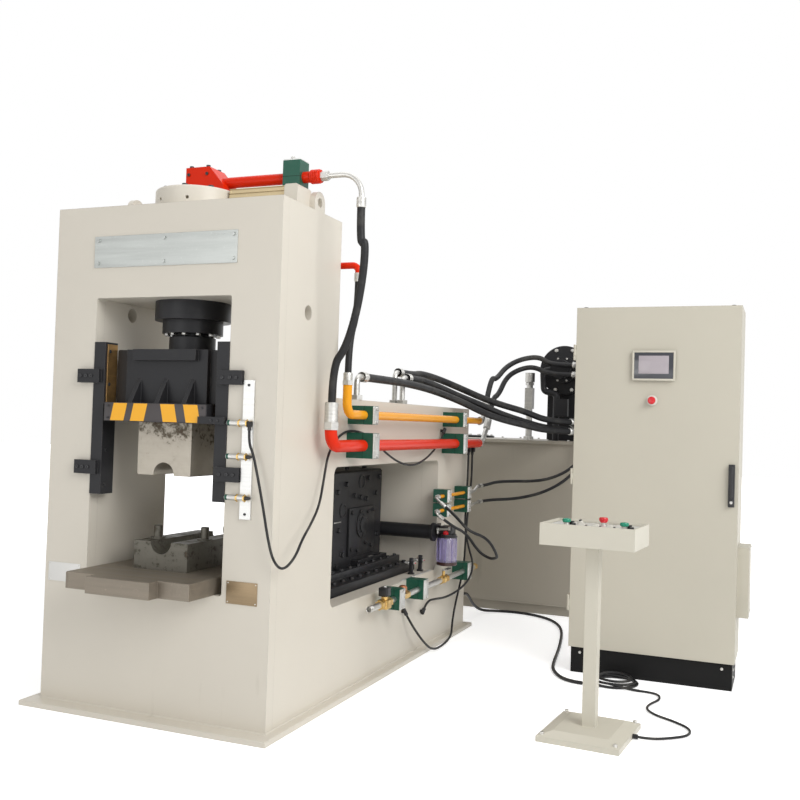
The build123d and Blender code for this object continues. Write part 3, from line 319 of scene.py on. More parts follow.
def mixed(tree, factor, first, second):
    """Colour between the first and the second, by the factor."""
    node = tree.nodes.new("ShaderNodeMix")
    node.data_type = "RGBA"
    for name, given in (("A", first), ("B", second)):
        socket = next(s for s in node.inputs if s.name == name and s.type == "RGBA")
        if isinstance(given, bpy.types.NodeSocket):
            tree.links.new(given, socket)
        else:
            socket.default_value = (*given, 1)
    tree.links.new(factor, node.inputs[0])
    return next(s for s in node.outputs if s.type == "RGBA")


def make_soft_edges():
    """Rounded normal at sharp edges, and a mask of those edges."""
    group, start, end = shader_group(
        "soft_edges",
        [("Radius", "NodeSocketFloat", 0.003)],
        [("Normal", "NodeSocketVector"), ("Edge", "NodeSocketFloat")],
    )
    rounded = wire(group, group.nodes.new("ShaderNodeBevel"), Radius=start["Radius"])
    rounded.samples = 4
    flat = group.nodes.new("ShaderNodeNewGeometry")
    dot = group.nodes.new("ShaderNodeVectorMath")
    dot.operation = "DOT_PRODUCT"
    group.links.new(rounded.outputs["Normal"], dot.inputs[0])
    group.links.new(flat.outputs["Normal"], dot.inputs[1])
    edge = ranged(group, dot.outputs["Value"], 0.98, 0.75)
    wire(group, end, Normal=rounded.outputs["Normal"], Edge=edge)


def make_grime():
    """Patches and streaks of dirt, and the unevenness of a sprayed coat."""
    group, start, end = shader_group(
        "grime",
        [("Vector", "NodeSocketVector", None), ("Patch Scale", "NodeSocketFloat", 2.0),
         ("Streak Scale", "NodeSocketFloat", 14.0), ("Coverage", "NodeSocketFloat", 0.35)],
        [("Mask", "NodeSocketFloat"), ("Height", "NodeSocketFloat"), ("Tone", "NodeSocketFloat")],
    )
    vector = start["Vector"]
    patch = noise(group, vector, start["Patch Scale"], 6.0, 0.6)
    upright = mapped(group, vector, (1.0, 1.0, 0.12))
    streak = noise(group, upright, start["Streak Scale"], 5.0, 0.6)
    both = reckon(group, "MULTIPLY", patch, streak)
    floor = reckon(group, "SUBTRACT", 0.54, start["Coverage"])
    mask = ranged(group, both, floor, reckon(group, "ADD", floor, 0.22))
    wire(group, end, Mask=mask, Height=noise(group, vector, 260.0, 2.0, 0.5), Tone=patch)


def make_tooling():
    """Fine parallel marks that machining leaves, along one axis, and scratches across them."""
    group, start, end = shader_group(
        "tooling",
        [("Vector", "NodeSocketVector", None), ("Scale", "NodeSocketFloat", 40.0)],
        [("Marks", "NodeSocketFloat"), ("Scratches", "NodeSocketFloat")],
    )
    along = mapped(group, start["Vector"], (0.05, 0.6, 1.0))
    across = mapped(group, start["Vector"], (1.0, 0.03, 1.0), (0.5, 0.3, 0.7))
    scratches = ranged(group, noise(group, across, 90.0, 3.0, 0.8), 0.62, 0.74)
    wire(group, end, Marks=noise(group, along, start["Scale"], 6.0, 0.7), Scratches=scratches)


def group_node(tree, name, **given):
    """Outputs of one of the shared node groups, placed in the material."""
    node = tree.nodes.new("ShaderNodeGroup")
    node.node_tree = bpy.data.node_groups[name]
    return wire(tree, node, **given).outputs


def start_material(name):
    """New material with its node tree and shader, and the place on the object."""
    material = bpy.data.materials.new(name)
    material.use_nodes = True
    tree = material.node_tree
    place = tree.nodes.new("ShaderNodeTexCoord")
    return material, tree, tree.nodes["Principled BSDF"], place.outputs["Object"]


def rough_normal(tree, shader, height, strength, depth, edge_radius):
    """Bump over rounded edges, fed to the shader. Returns the mask of the edges."""
    edges = group_node(tree, "soft_edges", Radius=edge_radius)
    bump = tree.nodes.new("ShaderNodeBump")
    wire(tree, bump, Strength=strength, Distance=depth, Height=height, Normal=edges["Normal"])
    wire(tree, shader, Normal=bump.outputs["Normal"])
    return edges["Edge"]


def toned(colour, factor, lift=0.0):
    """The colour, darkened or lightened."""
    return [min(1, part * factor + lift) for part in colour]


def enamel(
    name, paint, dirt, rough=0.38, coverage=0.2, amount=0.5, chip=None, edge=0.003, patch=1.6, shine=0.5
):
    """Sprayed paint with uneven gloss, dirt in streaks and wear at the edges."""
    material, tree, shader, place = start_material(name)
    grime = group_node(tree, "grime", Vector=place, Coverage=coverage, Patch_Scale=patch)
    rim = rough_normal(tree, shader, grime["Height"], 0.12, 0.0006, edge)
    tone = ranged(tree, grime["Tone"], 0.3, 0.7, 0.0, 0.35)
    shade = mixed(tree, tone, paint, toned(paint, 0.9))
    surface = mixed(tree, reckon(tree, "MULTIPLY", grime["Mask"], amount), shade, dirt)
    if chip:
        worn = reckon(tree, "MULTIPLY", rim, grime["Tone"])
        surface = mixed(tree, ranged(tree, worn, 0.28, 0.5), surface, chip)
    gloss = ranged(tree, grime["Mask"], 0.0, 1.0, rough, min(1.0, rough + 0.25))
    wire(tree, shader, Base_Color=surface, Roughness=gloss, Specular_IOR_Level=shine)
    return material


def bare_steel(
    name, base, stain, rough=0.35, stain_amount=0.5, scale=40.0, metallic=1.0, patch=7.0, bright=1.25
):
    """Machined or ground steel with tool marks, scratches and oil stains."""
    material, tree, shader, place = start_material(name)
    tooling = group_node(tree, "tooling", Vector=place, Scale=scale)
    grime = group_node(tree, "grime", Vector=place, Coverage=0.22, Patch_Scale=patch)
    rim = rough_normal(tree, shader, tooling["Marks"], 0.25, 0.0005, 0.002)
    ground = mixed(tree, ranged(tree, tooling["Marks"], 0.3, 0.7), toned(base, 0.78), base)
    ground = mixed(tree, tooling["Scratches"], ground, toned(base, bright))
    ground = mixed(tree, reckon(tree, "MULTIPLY", grime["Mask"], stain_amount), ground, stain)
    ground = mixed(tree, rim, ground, toned(base, bright))
    gloss = ranged(tree, tooling["Marks"], 0.2, 0.8, rough - 0.08, rough + 0.18)
    wire(tree, shader, Base_Color=ground, Metallic=metallic, Roughness=gloss)
    return material


def rubber(name, base, dust, rough=0.42):
    """Hose cover or cable sheath with a film of dust and a fine grain."""
    material, tree, shader, place = start_material(name)
    film = noise(tree, place, 9.0, 4.0, 0.6)
    rough_normal(tree, shader, noise(tree, place, 700.0, 2.0, 0.5), 0.2, 0.0004, 0.0006)
    sheath = mixed(tree, ranged(tree, film, 0.5, 0.8, 0.0, 0.22), base, dust)
    gloss = ranged(tree, film, 0.3, 0.7, rough, rough + 0.2)
    wire(tree, shader, Base_Color=sheath, Roughness=gloss, Specular_IOR_Level=0.3)
    return material


def plastic(name, base, rough=0.3, grain_scale=500.0, grain=0.1):
    """Moulded plastic with a fine grain and slight scuffs."""
    material, tree, shader, place = start_material(name)
    rough_normal(tree, shader, noise(tree, place, grain_scale, 2.0, 0.5), grain, 0.0003, 0.001)
    scuff = ranged(tree, noise(tree, place, 25.0, 5.0, 0.6), 0.5, 0.75, 0.0, 0.25)
    gloss = ranged(tree, scuff, 0.0, 0.25, rough, rough + 0.2)
    wire(tree, shader, Base_Color=mixed(tree, scuff, base, toned(base, 0.7, 0.06)), Roughness=gloss)
    return material


def tinted_glass(name, tint):
    """Clear moulded bowl with slight waviness."""
    material, tree, shader, place = start_material(name)
    wave = noise(tree, place, 30.0, 2.0, 0.5)
    rough_normal(tree, shader, wave, 0.12, 0.001, 0.001)
    wire(tree, shader, Base_Color=mixed(tree, wave, tint, toned(tint, 1.2)), Roughness=0.06, IOR=1.45)
    wire(tree, shader, Transmission_Weight=0.8)
    return material


def screen_glass(name):
    """Dark display behind glass with a faint even sheen."""
    material, tree, shader, place = start_material(name)
    film = noise(tree, place, 12.0, 3.0, 0.6)
    panel = mixed(tree, film, (0.012, 0.014, 0.02), (0.03, 0.033, 0.045))
    gloss = ranged(tree, film, 0.3, 0.7, 0.06, 0.16)
    wire(tree, shader, Base_Color=panel, Roughness=gloss, Coat_Weight=0.6)
    return material


def die_steel_stained(name, light, dark, scale_from, dark_above=None):
    """Used die steel: ground faces with olive and brown scale, heavier above a height if one is given."""
    material, tree, shader, place = start_material(name)
    tooling = group_node(tree, "tooling", Vector=place, Scale=30.0)
    fine = noise(tree, place, 46.0, 6.0, 0.7)
    patches = reckon(tree, "MULTIPLY", noise(tree, place, 11.0, 6.0, 0.65), fine)
    if dark_above is not None:
        parts = wire(tree, tree.nodes.new("ShaderNodeSeparateXYZ"), Vector=place)
        heavier = ranged(tree, parts.outputs["Z"], dark_above - 0.05, dark_above + 0.07, -0.06, 0.085)
        patches = reckon(tree, "ADD", patches, heavier)
    rim = rough_normal(tree, shader, fine, 0.35, 0.0012, 0.003)
    scale_mask = ranged(tree, patches, scale_from, scale_from + 0.07)
    rust_mask = ranged(tree, patches, scale_from + 0.06, scale_from + 0.15, 0.0, 0.85)
    ground = mixed(tree, tooling["Marks"], toned(light, 0.8), light)
    ground = mixed(tree, scale_mask, ground, dark)
    ground = mixed(tree, rust_mask, ground, (0.075, 0.045, 0.028))
    ground = mixed(tree, rim, ground, toned(light, 1.2))
    metal = ranged(tree, scale_mask, 0.0, 1.0, 0.55, 0.25)
    gloss = ranged(tree, patches, 0.15, 0.4, 0.36, 0.7)
    wire(tree, shader, Base_Color=ground, Metallic=metal, Roughness=gloss)
    return material


def make_finishes():
    """Every finish by name, made once from the colours of the panel."""
    c = bpy.context.scene.press_colours
    dust = (0.30, 0.285, 0.25)
    return {
        "cream": enamel(
            "cream_enamel", c.cream[:], (0.40, 0.36, 0.28), 0.40, 0.17, 0.45, (0.50, 0.47, 0.41), 0.004
        ),
        "cabinet": enamel("cabinet_coat", c.cabinet[:], (0.36, 0.33, 0.27), 0.48, 0.14, 0.3, None, 0.003),
        "tank": enamel("tank_enamel", c.tank[:], (0.20, 0.18, 0.14), 0.42, 0.22, 0.5, None, 0.004),
        "pedestal": enamel(
            "pedestal_coat", c.pedestal[:], (0.36, 0.33, 0.26), 0.42, 0.16, 0.4, None, 0.003
        ),
        "black": enamel(
            "blackened_steel", c.black[:], (0.055, 0.052, 0.047), 0.38, 0.24, 0.5, (0.12, 0.115, 0.11),
            0.003, 5.0, 0.22
        ),
        "plinth": enamel(
            "plinth_paint", c.plinth[:], (0.03, 0.028, 0.025), 0.5, 0.2, 0.4, None, 0.003, 1.6, 0.15
        ),
        "red": enamel("red_gloss", c.red[:], (0.30, 0.03, 0.01), 0.26, 0.12, 0.35, None, 0.003, 6.0, 0.16),
        "yellow": enamel(
            "yellow_gloss", c.yellow[:], (0.42, 0.16, 0.01), 0.26, 0.12, 0.35, None, 0.003, 6.0, 0.25
        ),
        "stripe": enamel(
            "stripe_yellow", c.stripe[:], (0.35, 0.16, 0.01), 0.35, 0.2, 0.5, (0.2, 0.1, 0.02), 0.001, 9.0
        ),
        "green": plastic("green_clamp", c.green[:], 0.34),
        "zinc": bare_steel("zinc_plate", (0.62, 0.61, 0.58), (0.25, 0.23, 0.19), 0.30, 0.45, 60.0, 0.95),
        "polished": bare_steel(
            "polished_plate", (0.50, 0.52, 0.50), (0.34, 0.34, 0.32), 0.30, 0.25, 24.0, 0.9, 5.0, 1.1
        ),
        "table_steel": bare_steel(
            "table_steel", (0.25, 0.215, 0.17), (0.06, 0.045, 0.03), 0.44, 0.8, 34.0, 0.55, 4.0, 1.4
        ),
        "upper_die": die_steel_stained(
            "upper_die_steel", (0.44, 0.40, 0.335), (0.13, 0.11, 0.075), 0.30, 1.27
        ),
        "die": die_steel_stained("lower_die_steel", (0.15, 0.14, 0.115), (0.05, 0.045, 0.03), 0.27),
        "dark_plate": enamel(
            "hazard_ground", (0.042, 0.034, 0.034), (0.10, 0.09, 0.08), 0.42, 0.2, 0.5, None, 0.001, 9.0
        ),
        "dark_bolt": bare_steel(
            "black_bolt", (0.05, 0.05, 0.052), (0.12, 0.1, 0.08), 0.4, 0.5, 60.0, 0.7, 20.0, 2.2
        ),
        "bronze": bare_steel("bronze_strip", (0.55, 0.33, 0.13), (0.12, 0.07, 0.03), 0.3, 0.5, 50.0, 0.9),
        "brass": bare_steel(
            "brass_fitting", (0.70, 0.47, 0.17), (0.24, 0.14, 0.05), 0.26, 0.45, 60.0, 0.95
        ),
        "copper": bare_steel("copper_disc", (0.70, 0.30, 0.16), (0.2, 0.09, 0.05), 0.3, 0.45, 60.0, 0.95),
        "alu": bare_steel("aluminium", (0.72, 0.72, 0.70), (0.35, 0.34, 0.31), 0.34, 0.3, 80.0, 0.75),
        "hose": rubber("hose_cover", (0.012, 0.012, 0.013), dust),
        "cable": rubber("cable_sheath", (0.009, 0.009, 0.010), dust, 0.36),
        "black_plastic": plastic("black_plastic", (0.014, 0.014, 0.016), 0.38),
        "base_plastic": plastic("bowl_base", (0.045, 0.017, 0.014), 0.28),
        "green_button": plastic("green_button", (0.0, 0.24, 0.14), 0.22),
        "red_button": plastic("red_button", (0.62, 0.012, 0.02), 0.2),
        "white_plastic": plastic("white_plastic", (0.72, 0.70, 0.64), 0.35),
        "info_white": enamel(
            "white_plate", (0.74, 0.73, 0.70), (0.45, 0.43, 0.38), 0.3, 0.2, 0.4, None, 0.001, 12.0
        ),
        "info_brown": bare_steel(
            "bronzed_plate", (0.30, 0.22, 0.13), (0.10, 0.07, 0.04), 0.35, 0.4, 60.0, 0.7, 12.0
        ),
        "channel": bare_steel("channel_cover", (0.62, 0.50, 0.30), (0.25, 0.17, 0.09), 0.4, 0.5, 30.0, 0.5),
        "clear_plastic": plastic("clear_plastic", (0.62, 0.60, 0.54), 0.15),
        "display": plastic("display_panel", (0.40, 0.36, 0.385), 0.12, 300.0, 0.02),
        "bowl": tinted_glass("tinted_bowl", c.bowl[:]),
        "screen": screen_glass("screen_glass"),
    }


# Finishes by name, each made once.
FINISHES = {}


def finishes(name):
    """The finish of that name. The first call makes them all."""
    if not FINISHES:
        make_soft_edges()
        make_grime()
        make_tooling()
        FINISHES.update(make_finishes())
    return FINISHES[name]


# Finish of each part of the frame that keeps its own shape.
NODE_FINISHES = {
    "cream": "base_plate right_side_plate left_side_plate front_plate crown bed rear_housing cap_ring",
    "black": "clamp_cylinder clamp_ram slide guide_rails upset_cylinder upset_block cross_sleeve"
             " valve_stack cable_glands motor",
    "upper_die": "upper_die",
    "die": "lower_die punch",
    "table_steel": "table",
    "bronze": "bronze_strips",
    "alu": "sensors",
    "polished": "sign_plates",
    "red": "red_pipes crown_manifold",
    "yellow": "yellow_pipes",
    "green": "pipe_clamps",
    "channel": "crown_channel",
    "zinc": "hose_fittings water_line tank_fittings mounting_plate",
    "tank": "tank_body tank_lid",
    "cabinet": "cabinet_body cabinet_door",
    "plinth": "cabinet_plinth",
    "pedestal": "pedestal_stand pedestal_box",
    "green_button": "pedestal_buttons",
    "black_plastic": "door_fittings",
    "bowl": "lubricator",
    "cable": "cable_coil",
}


# Hoses and cables: diameter, length, start and its direction, points on the way, end and its
# direction, what is at the far end, how it lies, and its finish.
CORDS = {
    "riser_hose": (
        0.038, 0.946, (0.862, 0.05, 2.4), (0, 0, -1),
        [(0.888, 0.052, 2.25), (0.88, 0.062, 2.1), (0.84, 0.08, 1.9), (0.78, 0.096, 1.74)],
        (0.714, 0.112, 1.488), (0, 0, 1), "fitting", "hanging", "hose"),
    "yellow_riser_hose": (
        0.034, 0.499, (0.7, 0.395, 2.11), (0, 0, -1),
        [],
        (0.714, 0.281, 1.64), (0, 0, 1), "fitting", "hanging", "hose"),
    "roof_hose_a": (
        0.045, 2.547, (0.6, 0.743, 1.645), (0, 1, 0),
        [(0.6, 1.316, 1.645), (0.606, 1.76, 1.624), (0.677, 2.12, 1.567), (0.782, 2.33, 1.493),
         (0.863, 2.52, 1.452), (0.955, 2.74, 1.422)],
        (1.2, 3.13, 1.385), (-0.6, -0.8, 0), "fitting", "hanging", "hose"),
    "roof_hose_b": (
        0.045, 1.832, (0.47, 1.569, 1.718), (0, 1, 0),
        [(0.472, 1.9, 1.734), (0.51, 2.12, 1.715), (0.62, 2.27, 1.66), (0.75, 2.43, 1.592),
         (0.85, 2.64, 1.55), (0.94, 2.81, 1.52)],
        (1.2, 3.165, 1.455), (-0.6, -0.8, 0), "fitting", "hanging", "hose"),
    "roof_hose_c": (
        0.045, 1.856, (0.535, 1.551, 1.683), (0, 1, 0),
        [(0.538, 1.769, 1.682), (0.575, 2.01, 1.65), (0.649, 2.17, 1.601), (0.765, 2.35, 1.545),
         (0.828, 2.54, 1.498), (0.915, 2.77, 1.455)],
        (1.2, 3.22, 1.397), (-0.6, -0.8, 0), "fitting", "hanging", "hose"),
    "arch_hose_d": (
        0.038, 1.041, (0.72, 2.64, 1.45), (0, 0.5, 0.866),
        [(0.718, 2.89, 1.64), (0.725, 3.06, 1.78), (0.79, 3.19, 1.85), (0.9, 3.215, 1.872)],
        (1.2, 3.21, 1.812), (-1, 0, 0), "fitting", "hanging", "hose"),
    "arch_hose_e": (
        0.038, 1.057, (0.718, 2.6, 1.6), (0, 0.5, 0.866),
        [(0.72, 2.8, 1.745), (0.735, 3.02, 1.86), (0.81, 3.19, 1.93), (0.94, 3.225, 1.948)],
        (1.2, 3.23, 1.885), (-1, 0, 0), "fitting", "hanging", "hose"),
    "feed_hose_upper": (
        0.022, 1.029, (0.69, 2.62, 0.98), (0, 1, 0),
        [(0.745, 2.8, 1.003), (0.85, 2.88, 1.009), (0.96, 2.92, 1.012), (1.07, 2.95, 1.026),
         (1.18, 2.99, 1.07), (1.27, 3.04, 1.14)],
        (1.31, 3.112, 1.34), (0, 0, -1), "fitting", "hanging", "hose"),
    "feed_hose_lower": (
        0.022, 1.104, (0.69, 2.62, 0.868), (0, 1, 0),
        [(0.735, 2.77, 0.874), (0.85, 2.86, 0.88), (0.96, 2.9, 0.902), (1.07, 2.93, 0.94),
         (1.175, 2.97, 1), (1.26, 3.02, 1.08), (1.32, 3.08, 1.18)],
        (1.338, 3.112, 1.34), (0, 0, -1), "fitting", "hanging", "hose"),
    "loop_hose": (
        0.018, 1.161, (0.76, 1.65, 0.9), (0.8, 0, -0.6),
        [(0.919, 1.629, 0.763), (1.023, 1.703, 0.721), (1.052, 1.84, 0.593), (1.004, 1.924, 0.569),
         (0.962, 1.951, 0.563), (0.881, 1.978, 0.595), (0.808, 1.932, 0.717)],
        (0.7275, 1.7068, 0.8192), (0.5, 0.65, -0.57), "fitting", "hanging", "hose"),
    "sensor_cable": (
        0.012, 3.039, (0.509, -0.286, 1.352), (0, 0, -1),
        [(0.535, -0.29, 1.25), (0.57, -0.295, 1.13), (0.6, -0.297, 1.01), (0.628, -0.298, 0.88),
         (0.655, -0.292, 0.785), (0.69, -0.268, 0.745), (0.716, -0.21, 0.795),
         (0.715, -0.14, 0.875), (0.7, -0.04, 0.925), (0.678, 0.09, 1.005), (0.662, 0.16, 1.13),
         (0.652, 0.22, 1.26), (0.652, 0.36, 1.35), (0.652, 0.52, 1.362), (0.66, 0.7, 1.33),
         (0.68, 0.85, 1.245), (0.69, 1.05, 1.18), (0.69, 1.27, 1.158), (0.682, 1.5, 1.195),
         (0.665, 1.72, 1.262)],
        (0.648, 1.89, 1.35), (0, -0.7, -0.714), "connector", "hanging", "cable"),
    "rear_cable_front": (
        0.014, 1.458, (0.66, 2.391, 1.205), (0, 0, -1),
        [(0.66, 2.386, 1.008), (0.664, 2.35, 0.84), (0.674, 2.318, 0.7), (0.714, 2.284, 0.58),
         (0.765, 2.244, 0.48), (0.766, 2.18, 0.388), (0.722, 2.084, 0.32), (0.676, 1.95, 0.288),
         (0.655, 1.8, 0.3)],
        (0.642, 1.65, 0.262), (0, 0.8, 0.6), "connector", "hanging", "cable"),
    "rear_cable_floor": (
        0.014, 2.132, (0.672, 2.44, 1.205), (0, 0, -1),
        [(0.672, 2.44, 1.03), (0.668, 2.4, 0.85), (0.664, 2.372, 0.66), (0.66, 2.366, 0.45),
         (0.655, 2.31, 0.33), (0.65, 2.23, 0.2), (0.662, 2.14, 0.096), (0.7, 2.02, 0.032),
         (0.712, 1.85, 0.012), (0.712, 1.64, 0.014), (0.7, 1.5, 0.09)],
        (0.65, 1.33, 0.28), (0.35, 0.35, -0.87), "connector", "loose", "cable"),
    "floor_cable": (
        0.020, 2.968, (0.6, 2.507, 0.215), (0, 1, 0),
        [(0.6, 2.68, 0.18), (0.585, 2.85, 0.084), (0.6, 3, 0.022), (0.69, 3.1, 0.012),
         (0.81, 3.13, 0.011), (0.93, 3.11, 0.012), (1.04, 3.06, 0.012), (1.15, 2.96, 0.012),
         (1.24, 2.8, 0.011), (1.3, 2.6, 0.011), (1.35, 2.35, 0.011), (1.4, 2.05, 0.011),
         (1.44, 1.75, 0.011), (1.48, 1.54, 0.011)],
        (1.69, 1.35, 0.011), (-1, 0, 0), "object", "loose", "cable"),
    "pedestal_cable": (
        0.012, 1.128, (2, 1.35, 0.008), (1, 0, 0),
        [(2.108, 1.318, 0.008), (2.12, 1.225, 0.008), (2.085, 1.13, 0.008), (2.075, 1.03, 0.008),
         (2.13, 0.94, 0.008), (2.23, 0.875, 0.008), (2.315, 0.79, 0.008), (2.32, 0.68, 0.008),
         (2.24, 0.59, 0.01)],
        (2.1091, 0.5301, 0.014), (0.998, -0.07, 0), "object", "loose", "cable"),
}
# How far a cord runs straight out of its fitting, in diameters.
LEAD = 4.8


class PRESS_OT_paint_frame(bpy.types.Operator):
    """Gives every part of the frame its paint or metal"""

    bl_idname = "press.paint_frame"
    bl_label = "Paint the Frame"

    def execute(self, context):
        for finish, names in NODE_FINISHES.items():
            for name in names.split():
                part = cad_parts[name]
                part.data.materials.clear()
                part.data.materials.append(finishes(finish))
        return {"FINISHED"}


# Radius and length of the crimped sleeve or plug at the start and at the end of each cord.
SLEEVES = {
    "riser_hose": ((0.0228, 0.042), (0.0328, 0.088)),
    "yellow_riser_hose": ((0.0218, 0.040), (0.0228, 0.036)),
    "roof_hose_a": ((0.0278, 0.050), (0.0278, 0.052)),
    "roof_hose_b": ((0.0278, 0.050), (0.0278, 0.052)),
    "roof_hose_c": ((0.0278, 0.050), (0.0278, 0.052)),
    "arch_hose_d": ((0.0258, 0.070), (0.0248, 0.038)),
    "arch_hose_e": ((0.0258, 0.070), (0.0248, 0.038)),
    "feed_hose_upper": ((0.0146, 0.060), (0.0136, 0.040)),
    "feed_hose_lower": ((0.0146, 0.060), (0.0136, 0.040)),
    "loop_hose": ((0.0126, 0.040), (0.0126, 0.040)),
    "sensor_cable": ((0.0086, 0.016), (0.0116, 0.040)),
    "rear_cable_front": ((0.0106, 0.020), (0.0116, 0.040)),
    "rear_cable_floor": ((0.0106, 0.020), (0.0116, 0.040)),
}
RIDGES = 4


def add_ferrule(target, tip, way, radius, long, grip):
    """Crimped sleeve that ends a little way along the hose."""
    dip = radius * 0.06
    profile = [(0, 0), (radius - dip, 0), (radius, dip)]
    pitch = (long - 3 * dip) / (RIDGES + 1)
    for i in range(RIDGES):
        ridge = (i + 1) * pitch
        profile += [(radius, ridge - pitch * 0.25), (radius - dip, ridge - pitch * 0.12)]
        profile += [(radius - dip, ridge + pitch * 0.12), (radius, ridge + pitch * 0.25)]
    profile += [(radius, long), (radius - dip * 2, long + grip), (0, long + grip)]
    way = Vector(way).normalized()
    add_turned(target, profile, Vector(tip) - way * long, way, 28)


class PRESS_OT_lay_hoses(bpy.types.Operator):
    """Lays every hose and cable along its route, with crimped ends on those listed with sleeves"""

    bl_idname = "press.lay_hoses"
    bl_label = "Lay the Hoses"

    def execute(self, context):
        for name, facts in CORDS.items():
            thick, long, start, out, between, end, back, far_end, lay, finish = facts
            lead = LEAD * thick
            start, end = Vector(start), Vector(end)
            route = [
                start, start + Vector(out) * lead, *map(Vector, between), end + Vector(back) * lead, end
            ]
            hose = lay_cord("laid_" + name, route, thick / 2, finish)
            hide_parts(name)
            if name in SLEEVES:
                made = bmesh.new()
                for tip, way, (radius, deep) in zip((start, end), (out, back), SLEEVES[name]):
                    add_ferrule(made, tip, way, radius, deep, thick * 0.12)
                kind = "zinc" if finish == "hose" else "black_plastic"
                finish_piece("ends_" + name, made, "frame", kind)
        return {"FINISHED"}


def lay_cord(name, route, radius, finish):
    """Round cord on one smooth open spline with the route's points as its control points."""
    curve = bpy.data.curves.new(name, "CURVE")
    curve.dimensions = "3D"
    curve.resolution_u = 8
    curve.bevel_depth = radius
    curve.bevel_resolution = 5
    curve.use_fill_caps = True
    lay_spline(curve, route)
    cord = bpy.data.objects.new(name, curve)
    bpy.context.scene.collection.objects.link(cord)
    curve.materials.append(finishes(finish))
    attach(cord, "frame")
    return cord


# The coil of spare cable on the floor: its centre, its outer and inner radius, the cable's thickness, the
# turns, the rise from one layer to the next, and how far the ends run out and where.
COIL_CENTRE = Vector((1.845, 1.468, 0))
COIL_OUTER, COIL_INNER = 0.128, 0.094
COIL_THICK = 0.014
COIL_TURNS = 4
COIL_LIFT = 0.0145
COIL_TAIL = 0.155
COIL_TAIL_Y = 1.350


class PRESS_OT_wind_coil(bpy.types.Operator):
    """Winds the spare cable into its loose coil"""

    bl_idname = "press.wind_coil"
    bl_label = "Wind the Coil"

    def execute(self, context):
        low = COIL_THICK / 2 + 0.0015
        steps = 14
        start = Vector((COIL_CENTRE.x - COIL_TAIL, COIL_TAIL_Y, 0.011))
        route = [start, Vector((COIL_CENTRE.x - COIL_TAIL * 0.5, COIL_TAIL_Y, 0.010))]
        for i in range(COIL_TURNS * steps + 1):
            turn = i / steps
            angle = -math.pi / 2 + math.tau * turn
            wander = 0.006 * math.sin(angle * 2.0 + turn * 1.7)
            height = low + int(turn + 0.35) % 3 * COIL_LIFT
            ring = COIL_OUTER - (COIL_OUTER - COIL_INNER) * ((turn * 0.37) % 1.0) + wander
            route.append(COIL_CENTRE + Vector((ring * math.cos(angle), ring * math.sin(angle), height)))
        end = Vector((COIL_CENTRE.x + COIL_TAIL, COIL_TAIL_Y, 0.008))
        route += [Vector((COIL_CENTRE.x + COIL_TAIL * 0.6, COIL_TAIL_Y, 0.010)), end]
        coil = lay_cord("wound_cable_coil", route, COIL_THICK / 2, "cable")
        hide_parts("cable_coil")
        return {"FINISHED"}


# Hazard plate on the foot of the slide: half its width, the starts of its stripes at the bottom edge,
# their width and their lean.
PLATE_HALF = 0.281
STRIPE_STARTS = (-0.247, -0.133, 0.051, 0.176)
STRIPE_WIDTH = 0.077
STRIPE_LEAN = 0.018


class PRESS_OT_hazard_plate(bpy.types.Operator):
    """Adds the striped plate on the front of the slide"""

    bl_idname = "press.hazard_plate"
    bl_label = "Hazard Plate"

    def execute(self, context):
        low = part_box("slide")[0]
        face = low.y + 0.014
        bottom, top = low.z + 0.003, low.z + 0.085
        plate = bmesh.new()
        corner = (-PLATE_HALF, face - 0.0015, bottom - 0.001)
        add_block(plate, corner, (PLATE_HALF, face, top + 0.001), 0.0004)
        finish_piece("hazard_backing", plate, "clamp_slide", "dark_plate")
        stripes = bmesh.new()
        for i, start in enumerate(STRIPE_STARTS):
            lean = STRIPE_LEAN if i < 2 else -STRIPE_LEAN
            end = start + STRIPE_WIDTH
            corners = [(start, bottom), (end, bottom), (end + lean, top), (start + lean, top)]
            made = bmesh.new()
            inside = [(min(max(x, -PLATE_HALF), PLATE_HALF), face - 0.0015, z) for x, z in corners]
            face_points = [made.verts.new(point) for point in inside]
            flat = made.faces.new(face_points)
            grown = bmesh.ops.extrude_face_region(made, geom=[flat])
            bmesh.ops.translate(
                made, verts=[v for v in grown["geom"] if isinstance(v, bmesh.types.BMVert)], vec=(
                    0, -0.0007, 0
                )
            )
            bmesh.ops.recalc_face_normals(made, faces=made.faces[:])
            add(stripes, made)
        finish_piece("hazard_stripes", stripes, "clamp_slide", "stripe")
        return {"FINISHED"}


# Heights of the guide rail's brackets and bolts, and the places of the bolts across each bracket.
BRACKET_HEIGHTS = (1.585, 1.150)
LEFT_BRACKET_BOLTS = (-0.4365, -0.405, -0.375)
RIGHT_BRACKET_BOLTS = (0.428, 0.396, 0.356)
RAIL_BOLT_HEIGHTS = (1.704, 1.547, 1.392, 1.232, 1.068)
RAIL_BOLT_Y = -0.231
RAIL_FACE = 0.312
STRIP_THICK = 0.005


class PRESS_OT_bolt_guides(bpy.types.Operator):
    """Adds the bolts of the guide rails and their brackets"""

    bl_idname = "press.bolt_guides"
    bl_label = "Bolt the Guides"

    def execute(self, context):
        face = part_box("guide_rails")[0].y
        strip_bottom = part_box("bronze_strips")[0].z
        across = context.scene.press_sizes.bracket_bolt
        bolts = bmesh.new()
        places = LEFT_BRACKET_BOLTS + RIGHT_BRACKET_BOLTS
        add_rows(add_socket, bolts, places, [face], BRACKET_HEIGHTS, FRONT, across, 0.0055)
        for z in RAIL_BOLT_HEIGHTS:
            x = RAIL_FACE - STRIP_THICK if z > strip_bottom else RAIL_FACE
            add_hex(bolts, (x, RAIL_BOLT_Y, z), LEFT, 0.015, 0.0035, washer=False)
            add_hex(bolts, (-x, RAIL_BOLT_Y, z), RIGHT, 0.015, 0.0035, washer=False)
        finish_piece("guide_bolts", bolts, "frame", "dark_bolt")
        return {"FINISHED"}


